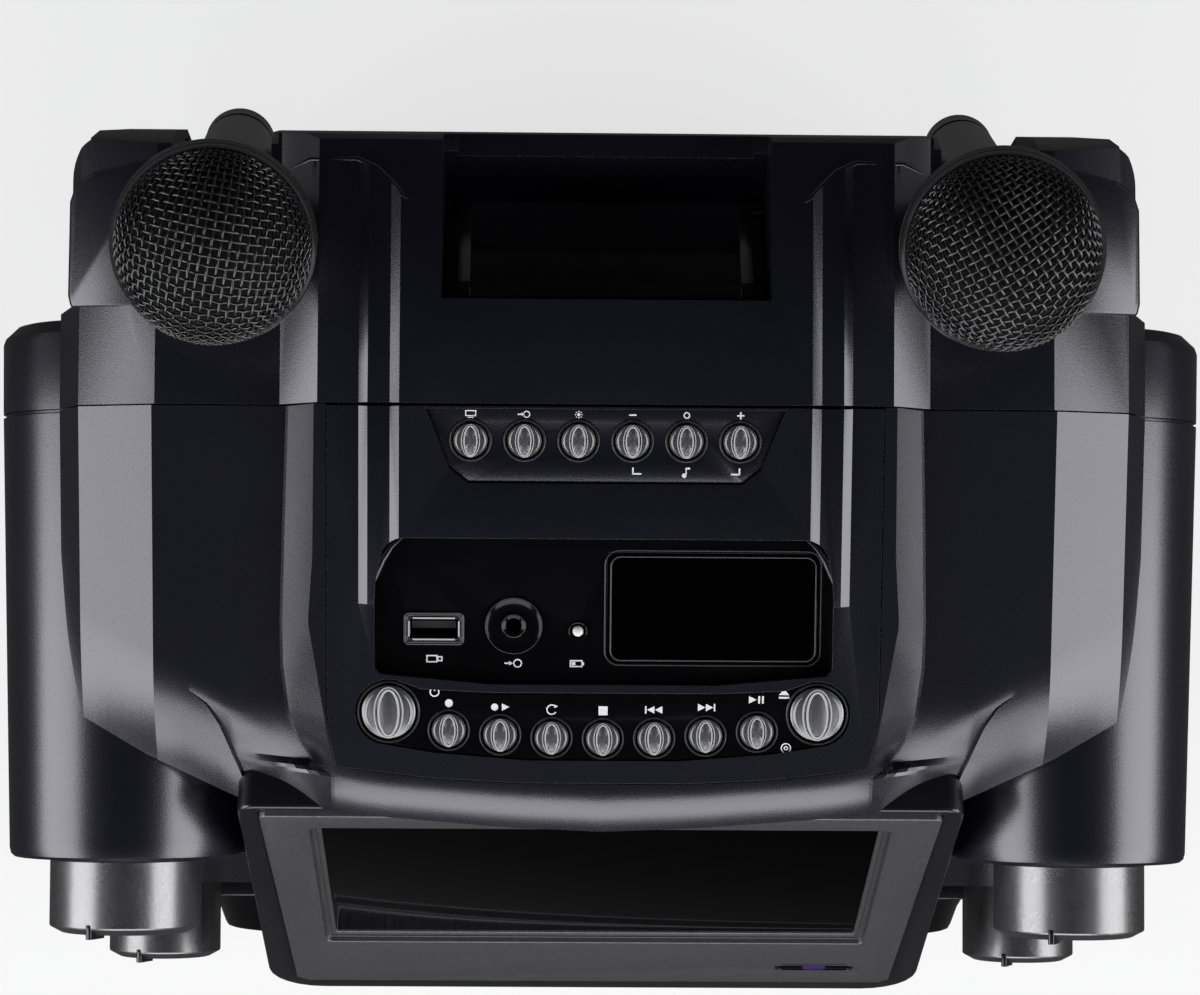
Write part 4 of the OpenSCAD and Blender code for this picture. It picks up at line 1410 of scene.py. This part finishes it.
@dataclass
class Deck(Assembly):
    """Panels of the sloping deck: plates, sockets, window, lamp and symbols."""

    ink: float = 0.00005
    lift: float = 0.00002
    plate: float = -0.0035

    def build(self) -> None:
        """Builds the deck's panels and what is on them."""
        self.refine("key_panel", "body_plastic", 0.0003)
        self.refine("control_panel", "gloss_plastic", 0.0002)
        self.refine("transport_panel", "gloss_plastic", 0.0002)
        self.refine("display_window", "screen_glass", 0.0003)
        self.window_line()
        self.data_socket()
        self.audio_socket()
        self.lamp()
        self.key_symbols()
        self.low_symbols()
        self.dress("circuit_board", "button_board", "main_board")

    def window_line(self) -> None:
        """Adds the fine double frame of the display window as grey lines, a painted edge highlight."""
        outlines = (
            round_rect(0.0003, 0.0575, -0.0696, -0.0389, 0.0038),
            round_rect(0.0018, 0.0560, -0.0681, -0.0404, 0.0026)
        )
        lines = [[(x, y, z) for x, y in line] for line, z in zip(outlines, (-0.0035, -0.00225))]
        # Grey wires along the window's edges: painted edge highlight.
        frame_line = Bench.wires("window_frame", lines, 0.00022, 1, True)
        self.keep(Bench.put(frame_line, deck_frame()), "edge_grey", slot="gloss_plastic")

    def data_socket(self) -> None:
        """Builds the data socket: bezel lines painted grey as edge highlights, bright shell with its
        springs, and tongue.
        """
        place = deck_frame() @ shift(-0.0449, -0.0601, self.plate)
        lip = [
            round_rect(-0.0077, 0.0077, -0.0041, 0.0041, 0.0011),
            round_rect(-0.0072, 0.0072, -0.0036, 0.0036, 0.0008)
        ]
        # Grey wires round the socket's opening: painted edge highlight.
        bezel = Bench.wires(
            "data_bezel", [[(x, y, 0.0002 - 0.0001 * i) for x, y in line] for i, line in enumerate(lip)],
            0.00035, 2, True
        )
        self.keep(Bench.put(bezel, place), "edge_grey", slot="gloss_plastic")
        outlines = []
        for s in (-1, 1):
            outlines.append((-0.0056, 0.0056, s * 0.00285 - 0.0002, s * 0.00285 + 0.0002))
            outlines.append((s * 0.0066 - 0.0002, s * 0.0066 + 0.0002, -0.0021, 0.0021))
        bars = [Bench.prism("bar", round_rect(*edges, 0.00015, 2), -0.004, 0.0007) for edges in outlines]
        shell = Bench.join("data_shell", bars)
        self.keep(Bench.put(shell, place), "edge_light", slot="bright_steel")
        tongue = Bench.prism(
            "data_tongue", round_rect(-0.0056, 0.0056, -0.0001, 0.0017, 0.0003, 2), -0.011, -0.0018
        )
        self.keep(Bench.put(Bench.soften(tongue, 0.0002), place), "inner_plastic", slot="gloss_plastic")
        self.dress("inner_plastic", "usb_port")

    def audio_socket(self) -> None:
        """Builds the audio socket: a dished ring, collar and sleeve, with grey rings on the crests as
        painted highlights.
        """
        place = deck_frame() @ shift(-0.0238, -0.0592, self.plate)
        dish = Bench.turned(
            "audio_dish",
            [
                (0.00745, -0.002), (0.00745, 0.0004), (0.0072, 0.0006), (0.0069, 0.0004),
                (0.0045, -0.0001), (0.0033, 0.0001), (0.0032, 0.0005), (0.0029, 0.0007),
                (0.0026, 0.0004), (0.0021, 0.0002), (0.0019, -0.0004), (0.00178, -0.009),
                (0.0021, -0.0095), (0.0021, -0.002), (0.00745, -0.002),
            ],
            72,
        )
        Bench.smooth(Bench.put(dish, place), 40)
        self.keep(dish, "gloss_plastic", slot="gloss_plastic", nodes=["aux_jack"])
        # Grey rings on the crests of the dish: painted highlight.
        angles = [math.tau * i / 64 for i in range(64)]
        rings = [
            [(r * math.cos(t), r * math.sin(t), z) for t in angles]
            for r, z in ((0.00745, 0.0005), (0.0030, 0.0007))
        ]
        highlight_lines = Bench.wires("audio_rims", rings, 0.00012, 1, True)
        self.keep(Bench.put(highlight_lines, place), "edge_grey", slot="gloss_plastic")

    def lamp(self) -> None:
        """Builds the small lamp and its collar."""
        place = deck_frame() @ shift(-0.0068, -0.0606, self.plate)
        lens = Bench.turned(
            "lamp_lens",
            [(0.0014, -0.0005), (0.0014, 0.0003), (0.0011, 0.0007), (0.0006, 0.0009), (0, 0.001)], 32
        )
        self.keep(Bench.put(Bench.smooth(lens, 60), place), "lamp_lens", slot="gear_plastic")
        collar = Bench.turned(
            "lamp_collar",
            [
                (0.0016, -0.0002), (0.0017, 0.0002), (0.0022, 0.0001), (0.0025, 0.0004), (0.0027, 0.0001),
                (0.0027, -0.0002)
            ],
            48
        )
        self.keep(Bench.put(Bench.smooth(collar, 60), place), "gloss_plastic", slot="gloss_plastic")

    def key_symbols(self) -> None:
        """Prints plain symbols above the upper buttons, and the bracket below three of them."""
        pen = Stencil()
        x = [(i - 2.5) * Buttons.key_pitch / MM for i in range(6)]
        y = -2.7
        pen.frame(x[0], y + 0.2, 2.9, 1.6, 0.28)
        pen.bar(x[0], y - 0.9, 1.5, 0.28)
        pen.ring(x[1] + 0.5, y, 0.8, 0.28, -150, 150)
        pen.bar(x[1] - 1.2, y, 1.3, 0.32)
        pen.arrow(x[1] - 0.4, y, 0.9)
        pen.disc(x[2], y, 0.42)
        for i in range(8):
            a = math.tau * i / 8
            pen.bar(x[2] + 0.85 * math.cos(a), y + 0.85 * math.sin(a), 0.3, 0.3)
        pen.bar(x[3], y, 1.9, 0.4)
        pen.ring(x[4], y, 0.72, 0.32)
        pen.bar(x[5], y, 1.9, 0.4)
        for s in (-1, 1):
            pen.bar(x[5], y + s * 0.6, 0.4, 0.75)
            pen.bar(x[4] + s * 14.0, -17.4, 0.4, 1.7)
            pen.bar(x[4] + s * 12.9, -18.2, 2.3, 0.4)
        pen.disc(x[4] - 0.5, -18.6, 0.6)
        pen.bar(x[4], -17.6, 0.3, 2.2)
        pen.bar(x[4] + 0.5, -16.7, 1.0, 0.5)
        self.print_on(pen, "key_symbols", Buttons.key_plate)

    def low_symbols(self) -> None:
        """Prints plain symbols by the lower buttons and the sockets."""
        pen = Stencil()

        def above(i: int, rise: float) -> tuple[float, float]:
            """Place above a lower button."""
            x, down = Buttons.low_place(i)
            return x / MM, rise - down / MM

        pen.ring(-44.6, -76.6, 1.15, 0.35, 120, 420)
        pen.bar(-44.6, -75.6, 0.35, 1.5)
        x, y = above(1, 7.2)
        pen.disc(x, y, 1.05)
        x, y = above(2, 7.4)
        pen.disc(x - 1.5, y, 0.95)
        pen.arrow(x + 1.4, y, 2.0)
        x, y = above(3, 7.5)
        pen.ring(x, y, 1.25, 0.35, 40, 330)
        pen.arrow(x + 1.15, y + 0.9, 1.0)
        x, y = above(4, 7.5)
        pen.bar(x, y, 2.4, 2.4)
        x, y = above(5, 7.6)
        pen.bar(x - 2.3, y, 0.4, 2.0)
        pen.arrow(x - 1.0, y, 2.0, -1)
        pen.arrow(x + 1.1, y, 2.0, -1)
        x, y = above(6, 7.6)
        pen.arrow(x - 1.1, y, 2.0)
        pen.arrow(x + 1.0, y, 2.0)
        pen.bar(x + 2.3, y, 0.4, 2.0)
        x, y = above(7, 8.6)
        pen.arrow(x - 1.2, y, 2.0)
        pen.bar(x + 0.5, y, 0.5, 2.0)
        pen.bar(x + 1.5, y, 0.5, 2.0)
        pen.shape([(46.5, -76.9), (49.3, -76.9), (47.9, -75.3)])
        pen.bar(47.9, -77.6, 2.8, 0.5)
        pen.ring(48.6, -91.2, 1.25, 0.3)
        pen.ring(48.6, -91.2, 0.45, 0.3)
        self.print_on(pen, "transport_symbols", Buttons.low_plate)
        pen = Stencil()
        pen.frame(-45.4, -68.2, 3.0, 2.0, 0.35)
        pen.frame(-43.3, -68.2, 1.4, 1.4, 0.35)
        pen.ring(-22.7, -69.3, 1.0, 0.35)
        pen.bar(-25.4, -69.3, 1.6, 0.4)
        pen.arrow(-24.4, -69.3, 1.1)
        pen.frame(-7.2, -69.3, 3.4, 1.9, 0.35)
        pen.bar(-5.3, -69.3, 0.4, 0.9)
        pen.bar(-7.9, -69.3, 1.0, 0.9)
        self.print_on(pen, "socket_symbols", self.plate)

    def print_on(self, pen: Stencil, name: str, plate: float) -> None:
        """Prints the drawn symbols, given in millimetres, on the deck.

        Args:
            pen: The symbols.
            name: Name of the piece.
            plate: Height of the printed face in the deck's frame.
        """
        ink = pen.solid(name, self.ink / MM)
        Bench.put(ink, deck_frame() @ shift(0, 0, plate + self.lift) @ Cabinet.in_mm)
        self.keep(ink, "white_mark", slot="button_plastic")


@dataclass
class Screen(Assembly):
    """Leaning screen: housing, painted bezel, glass and receiver window."""

    half: float = 0.076
    height: float = 0.085

    def build(self) -> None:
        """Builds the screen."""
        self.refine("screen_housing", "satin_housing", 0.0012, 3)
        self.refine("screen_bezel", "bezel_paint", 0.0006, 3)
        self.window_frame()
        self.glass()
        self.receiver()
        self.dress("inner_plastic", "lcd_panel")

    def window_frame(self) -> None:
        """Adds the fine double step round the glass as grey lines, a painted edge highlight."""
        rings = []
        for grow, z in ((0.0028, 0.0007), (0.0013, 0.0003)):
            line = round_rect(-self.half - grow, self.half + grow, -self.height - grow, grow, 0.0016)
            rings.append([(x, y, z) for x, y in line])
        # Grey wires along the step: painted edge highlight.
        step = Bench.wires("window_step", rings, 0.0004, 2, True)
        self.keep(Bench.put(step, screen_frame()), "edge_grey", slot="bezel_paint")

    def glass(self) -> None:
        """Adds the front glass of the screen."""
        pane = Bench.prism(
            "screen_glass",
            round_rect(-self.half - 0.0006, self.half + 0.0006, -self.height - 0.0006, 0.0006, 0.001, 3),
            -0.0016, -0.0002
        )
        Bench.soften(pane, 0.0002)
        self.keep(Bench.put(pane, screen_frame()), "screen_glass", slot="screen_glass")

    def receiver(self) -> None:
        """Builds the receiver's window: a long tinted lens in a dark cup."""
        lens = Bench.prism(
            "receiver_lens", round_rect(0.055, 0.077, -0.111, -0.107, 0.00199, 10), 0.0010, 0.0026
        )
        Bench.soften(lens, 0.0005, 3)
        self.keep(Bench.put(lens, screen_frame()), "screen_glass", slot="ir_plastic", nodes=["ir_window"])
        glow = Bench.prism(
            "receiver_glow", round_rect(0.0625, 0.0695, -0.1106, -0.1074, 0.00155, 8), 0.0024, 0.00272
        )
        self.keep(Bench.put(glow, screen_frame()), "ir_plastic", slot="ir_plastic")
        rim = [[(x, y, 0.0026) for x, y in round_rect(0.0545, 0.0775, -0.1115, -0.1065, 0.0025, 8)]]
        self.keep(
            Bench.put(Bench.wires("receiver_rim", rim, 0.0003, 1, True), screen_frame()), "satin_housing",
            slot="ir_plastic"
        )


@dataclass
class Knobs(Assembly):
    """The four turned knobs."""

    # Radius, length, distance of the back in front of the origin, and height.
    upper: tuple = (0.021, 0.021, 0.0865, 0.270)
    lower: tuple = (0.017, 0.025, 0.098, 0.166)
    x: float = 0.132
    pointer: float = 22

    def build(self) -> None:
        """Models an upper and a lower knob and fits them on both sides."""
        patterns = {}
        for level, (r, length, face, z) in (("upper", self.upper), ("lower", self.lower)):
            patterns[level] = self.model(f"{level}_pattern", r, length), face, z
        for side in Side:
            for level, (pattern, face, z) in patterns.items():
                node = f"{side.word}_{level}_knob"
                where = facing(side.value * self.x, -face, z) @ turn(self.pointer, "Z")
                knob = Bench.twin(pattern, node + "_turned", where)
                self.keep(knob, None, node, "knob_metal", [node])
        for pattern, _, _ in patterns.values():
            bpy.data.objects.remove(pattern)
        self.dress("bright_steel", "knob_shafts")

    def model(self, name: str, r: float, length: float) -> Piece:
        """Models one knob: skirt, wide chamfer, dished face and a pointer rib.

        Args:
            name: Name of the pattern.
            r: Radius.
            length: Length.

        Returns:
            The knob with its back at Z 0.
        """
        turned = Bench.turned(
            name + "_body",
            [
                (0.0062, 0.002), (0.0062, 0.0005), (r - 0.0004, 0.0005), (r, 0.0009),
                (r, length - 0.0021), (r - 0.0002, length - 0.0017), (r - 0.0032, length - 0.0001),
                (r - 0.0036, length), (r - 0.0042, length - 0.0003), (r - 0.006, length - 0.0006),
                (0, length - 0.0006),
            ],
            128,
        )
        Bench.smooth(turned, 25)
        self.finishes.paint(turned, "knob_metal")
        rib = Bench.prism(
            name + "_rib", round_rect(-0.0009, 0.0009, r - 0.008, r + 0.0002, 0.0006, 3), length - 0.003,
            length + 0.0010
        )
        Bench.soften(rib, 0.0003)
        self.finishes.paint(rib, "satin_housing")
        return Bench.join(name, [turned, rib])


@dataclass
class Weave:
    """Plain-woven round wire on a surface given by a map from the flat cloth."""

    pitch: float
    radius: float
    reach: float
    turn: float
    surface: Callable[[float, float, float], Point]
    fine: int = 2

    def lines(self) -> list[list[Point]]:
        """Runs every wire over and under its neighbours.

        Returns:
            The points of each wire.
        """
        count = int(self.reach / self.pitch)
        made = []
        c, s = math.cos(math.radians(self.turn)), math.sin(math.radians(self.turn))
        for way in (0, 1):
            for k in range(-count, count + 1):
                across = k * self.pitch
                span = math.sqrt(max(self.reach**2 - across**2, 0.0))
                last = int(span / self.pitch * self.fine)
                if last < 2:
                    continue
                line = []
                for m in range(-last, last + 1):
                    along = m * self.pitch / self.fine
                    lift = self.radius * 0.95 * math.cos(math.pi * (along / self.pitch + k + way))
                    u, v = (along, across) if way == 0 else (across, along)
                    line.append(self.surface(u * c - v * s, u * s + v * c, lift))
                made.append(line)
        return made

    def cloth(self, name: str, sides: int = 1) -> Piece:
        """Makes the woven wires one mesh."""
        return Bench.wires(name, self.lines(), self.radius, sides)


@dataclass
class Microphones(Assembly):
    """The two microphones in their holders."""

    ball: float = 0.025
    centre: float = 0.0054
    collar: float = 0.0263
    grip: float = 0.012
    tail: float = 0.0103
    length: float = 0.157

    def build(self) -> None:
        """Builds both microphones."""
        for side, weave_turn in ((Side.LEFT, -10.0), (Side.RIGHT, 32.0)):
            body = f"{side.word}_mic"
            where = mic_frame(side)
            head = self.head(side, weave_turn)
            for part in head:
                Bench.put(part, where)
            joined = Bench.join(f"{side.word}_mic_basket", head)
            self.keep(joined, None, body, "mic_mesh", [f"{side.word}_mic_head"])
            self.handle(side, where, body)

    def on_ball(self, u: float, v: float, lift: float) -> Point:
        """Wraps flat cloth round the ball of the head.

        Args:
            u: Place on the cloth.
            v: Place on the cloth.
            lift: Distance off the surface.

        Returns:
            The point in the microphone's frame.
        """
        reach = math.hypot(u, v)
        angle = reach / self.ball
        radius = self.ball - 0.0005 + lift
        if reach < 1e-7:
            return (0.0, 0.0, self.centre + radius)
        flat = radius * math.sin(min(angle, math.pi / 2))
        rise = radius * math.cos(angle) if angle < math.pi / 2 else -(angle - math.pi / 2) * self.ball
        return (flat * u / reach, flat * v / reach, self.centre + rise)

    def head(self, side: Side, weave_turn: float) -> list[Piece]:
        """Models the head: foam, woven wire, collar and lower cone.

        Args:
            side: Side of the microphone.
            weave_turn: Turn of the weave in degrees.

        Returns:
            The parts in the microphone's frame.
        """
        name = side.word + "_"
        reach = self.ball * math.pi / 2 + 0.0006
        weave = Weave(pitch=0.00235, radius=0.00036, reach=reach, turn=weave_turn, surface=self.on_ball)
        mesh = weave.cloth(name + "weave")
        self.finishes.paint(mesh, "mesh_wire")
        foam_r = self.ball - 0.0016
        angles = [math.pi / 32 * i for i in range(1, 17)]
        bow = [(foam_r * math.sin(a), self.centre + foam_r * math.cos(a)) for a in angles]
        foam = Bench.turned(name + "foam", [(0, self.centre + foam_r), *bow, (foam_r, 0.0), (0, 0.0)], 64)
        self.finishes.paint(Bench.smooth(foam, 40), "foam")
        c = self.collar
        collar = Bench.turned(
            name + "collar",
            [
                (c - 0.0022, 0.0042), (c - 0.0012, 0.0044), (c - 0.0004, 0.0036), (c, 0.0026),
                (c, 0.0008), (c - 0.0004, 0.0004), (c - 0.0004, -0.0004), (c, -0.0008), (c, -0.0026),
                (c - 0.0004, -0.0034), (c - 0.0014, -0.0042), (c - 0.0028, -0.0075),
                (c - 0.0036, -0.0078), (0.0205, -0.0112), (0.0155, -0.0198), (0.0136, -0.0244),
                (0.0132, -0.0254), (0.0, -0.0254),
            ],
            96,
        )
        self.finishes.paint(Bench.smooth(collar, 35), "mic_body")
        return [mesh, foam, collar]

    def handle(self, side: Side, where: Matrix, body: str) -> None:
        """Models the handle with its ribbed grip band, tail ring and switch.

        Args:
            side: Side of the microphone.
            where: Frame of the microphone.
            body: Body it rides on.
        """
        g, t, end = self.grip, self.tail, -self.length
        profile = [(0, -0.0256), (g - 0.0006, -0.0256), (g, -0.0262)]
        for i in range(5):
            z = -0.030 - i * 0.0024
            profile += [(g, z), (g - 0.0004, z - 0.0003), (g - 0.0004, z - 0.0009), (g, z - 0.0012)]
        profile += [
            (g, -0.060), (t + 0.0001, end + 0.016), (t - 0.0006, end + 0.0156),
            (t - 0.0006, end + 0.0128), (t, end + 0.0124), (t, end + 0.003), (t - 0.001, end + 0.0006),
            (t - 0.002, end), (0.0062, end), (0.006, end + 0.0006), (0.006, end + 0.009),
            (0, end + 0.009),
        ]
        handle = Bench.turned(f"{side.word}_mic_grip", profile, 72)
        Bench.smooth(Bench.put(handle, where), 30)
        self.keep(handle, "mic_body", body, "mic_body", [f"{side.word}_mic_handle"])
        base = Bench.prism(
            "switch_base", round_rect(-0.0048, 0.0048, -0.0775, -0.0565, 0.004), 0.0095, 0.0119
        )
        Bench.put(base, where @ turn(-90, "X") @ Matrix.Diagonal((1, -1, 1, 1)))
        base.data.flip_normals()
        base.name = f"{side.word}_switch_plate"
        self.keep(Bench.soften(base, 0.0004), "satin_housing", body, "mic_body")
        self.refine(
            f"{side.word}_mic_switch", "mic_body", 0.0004, body=f"{side.word}_switch", slot="mic_body"
        )


@dataclass
class Speakers(Assembly):
    """Reflector rings, woven grilles and cones."""

    x: float = 0.076
    z: float = 0.082
    ring: float = 0.050
    rise: float = 0.0135

    def build(self) -> None:
        """Builds both speakers' fronts."""
        rings, grilles, cones = [], [], []
        for side in Side:
            where = facing(side.value * self.x, -0.10605, self.z)
            rings.append(Bench.put(self.reflector(side), where))
            weave = Weave(
                pitch=0.0026, radius=0.0004, reach=self.ring - 0.0099, turn=45.0, surface=self.dome
            )
            grilles.append(Bench.put(weave.cloth(f"{side.word}_grille_weave"), where))
            cones.append(Bench.put(self.cone(side), where))
        self.keep(
            Bench.join("reflector_rings", rings), "gloss_plastic", slot="gloss_plastic",
            nodes=["speaker_rings"]
        )
        self.keep(
            Bench.join("woven_grilles", grilles), "grille_steel", slot="grille_steel",
            nodes=["speaker_grilles"]
        )
        self.keep(Bench.join("cones", cones), "speaker_cone", slot="speaker_cone")
        self.dress("inner_plastic", "left_speaker", "right_speaker")

    def dome(self, u: float, v: float, lift: float) -> Point:
        """Wraps flat cloth on the shallow dome of a grille."""
        share = (u * u + v * v) / (self.ring - 0.0104) ** 2
        return (u, v, self.rise + 0.0036 - 0.0042 * share + lift)

    def reflector(self, side: Side) -> Piece:
        """Models one reflector ring with a stepped lip."""
        r, h = self.ring, self.rise
        profile = [
            (r - 0.0118, 0), (r, 0), (r, 0.0014), (r - 0.0004, 0.0018), (r - 0.0030, 0.0060),
            (r - 0.0052, h - 0.0016), (r - 0.0060, h - 0.0003), (r - 0.0068, h),
            (r - 0.0084, h - 0.0002), (r - 0.0090, h - 0.0010), (r - 0.0092, h - 0.0026),
            (r - 0.0118, h - 0.006), (r - 0.0118, 0),
        ]
        return Bench.smooth(Bench.turned(f"{side.word}_reflector", profile, 128), 30)

    def cone(self, side: Side) -> Piece:
        """Models one paper cone with its rolled surround and dust cap."""
        roll = arc(0.0330, 0.0, 0.0030, 0, 180, 8)
        profile = [
            (0.0365, -0.002), *((r, -0.0005 + z) for r, z in roll), (0.0290, -0.0006), (0.0150, -0.0120),
            (0.0130, -0.0125), (0.0125, -0.0095), (0.0085, -0.0068), (0, -0.0058),
        ]
        return Bench.smooth(Bench.turned(f"{side.word}_cone", profile, 96), 40)


@dataclass
class DiscDrive(Assembly):
    """Tray, its door, and the mechanism behind them."""

    def build(self) -> None:
        """Builds the drive."""
        self.refine("disc_tray", "tray_plastic", 0.0004, body="tray")
        self.refine("tray_front", "body_plastic", 0.0007, 3, body="tray")
        self.refine("spindle_turntable", "tray_plastic", 0.0004, body="turntable")
        self.dress("bright_steel", "drive_chassis")
        self.dress("gear_plastic", "tray_pinion")
        self.dress("tray_plastic", "laser_sled")


@dataclass
class Cradle(Assembly):
    """The fold-up cradle for a pocket device."""

    def build(self) -> None:
        """Builds the cradle."""
        self.refine("phone_cradle", "satin_housing", 0.0005, body="cradle")


@dataclass
class Back(Assembly):
    """Rear plate with its sockets."""

    def build(self) -> None:
        """Builds the rear plate."""
        self.refine("rear_panel", "body_plastic", 0.0004)


# Studio


@dataclass
class Studio:
    """Pale floor, light panels at the sides and in front, and the camera above."""

    spot: Point = (-0.0167, -0.0316, 1.240)
    tilt: Point = (2.719, -0.99, 0.358)
    lens: float = 103.5
    reach: float = 6.0
    power: float = 18.0

    def build(self) -> None:
        """Builds the floor, the lights and the camera."""
        self.floor()
        self.world()
        self.panel("left_panel", (-1.15, -0.48, 0.93), (1.15, 1.08), -90.0)
        self.panel("right_panel", (1.15, -0.48, 0.93), (1.15, 1.08), 90.0)
        self.panel("front_panel", (0.0, -1.25, 0.93), (1.5, 1.08), 0.0)
        self.camera()
        bpy.context.scene.view_settings.view_transform = "Standard"

    def floor(self) -> None:
        """Adds the floor, which keeps the object's shadow."""
        floor = Bench.start("floor", "grid", x_subdivisions=8, y_subdivisions=8, size=2 * self.reach)
        recipe = Recipe("floor_paper")
        tone = recipe.blend(recipe.noise(3.0, 2.0), (0.80, 0.80, 0.81), (0.82, 0.82, 0.83))
        matt = recipe.node("ShaderNodeBsdfDiffuse", sockets={"Color": tone})
        pale = recipe.node("ShaderNodeEmission", sockets={"Color": (1.0, 1.0, 1.0, 1.0), "Strength": 1.0})
        seen = recipe.node("ShaderNodeLightPath", out="Is Camera Ray")
        mirrored = recipe.node("ShaderNodeLightPath", out="Is Glossy Ray")
        dim = recipe.node("ShaderNodeEmission", sockets={"Color": (1.0, 1.0, 1.0, 1.0), "Strength": 0.06})
        mixed = recipe.node("ShaderNodeMixShader", sockets={0: mirrored, 1: matt, 2: dim})
        mixed = recipe.node("ShaderNodeMixShader", sockets={0: seen * 0.7, 1: mixed, 2: pale})
        floor.data.materials.append(recipe.end(mixed))

    def world(self) -> None:
        """Makes the surroundings: dim overhead, brighter towards the horizon."""
        world = bpy.data.worlds.new("studio_world")
        world.use_nodes = True
        bpy.context.scene.world = world
        tree = world.node_tree
        back = tree.nodes["Background"]
        place = tree.nodes.new("ShaderNodeTexCoord")
        split = tree.nodes.new("ShaderNodeSeparateXYZ")
        ramp = tree.nodes.new("ShaderNodeValToRGB")
        stops = ((0.0, (0.35, 0.35, 0.37, 1.0)), (0.6, (0.012, 0.012, 0.014, 1.0)))
        for element, (at, colour) in zip(ramp.color_ramp.elements, stops):
            element.position, element.color = at, colour
        tree.links.new(place.outputs["Generated"], split.inputs[0])
        tree.links.new(split.outputs["Z"], ramp.inputs[0])
        tree.links.new(ramp.outputs["Color"], back.inputs["Color"])

    def panel(self, name: str, spot: Point, size: Point, heading: float) -> None:
        """Adds one upright light panel that faces the object.

        Args:
            name: Name of the lamp.
            spot: Its place.
            size: Its width and height.
            heading: Turn about the vertical in degrees; 0 lights towards the back.
        """
        lamp = bpy.data.lights.new(name, "AREA")
        lamp.shape = "RECTANGLE"
        lamp.size, lamp.size_y = size
        lamp.energy = self.power
        obj = bpy.data.objects.new(name, lamp)
        obj.location = spot
        obj.rotation_euler = (math.radians(90), 0.0, math.radians(heading))
        bpy.context.scene.collection.objects.link(obj)

    def camera(self) -> None:
        """Adds the camera at the photograph's place, almost straight above."""
        data = bpy.data.cameras.new("camera")
        data.lens, data.sensor_width, data.sensor_fit = self.lens, 36.0, "HORIZONTAL"
        data.clip_end = 20.0
        obj = bpy.data.objects.new("camera", data)
        obj.location = self.spot
        obj.rotation_euler = [math.radians(a) for a in self.tilt]
        bpy.context.scene.collection.objects.link(obj)
        bpy.context.scene.camera = obj


def main() -> None:
    """Builds the machine on its frame and reports each piece."""
    logging.basicConfig(level=logging.INFO, format="%(name)s: %(message)s")
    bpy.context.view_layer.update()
    finishes = Finishes()
    groups: list[Assembly] = [
        Cabinet(finishes), Deck(finishes), Buttons(finishes), Screen(finishes), Knobs(finishes),
        Microphones(finishes), Speakers(finishes), DiscDrive(finishes), Cradle(finishes), Back(finishes),
    ]
    for group in groups:
        group.build()
        LOG.info("%s: %s", type(group).__name__, ", ".join(group.pieces))
    Studio().build()


if __name__ == "__main__":
    main()
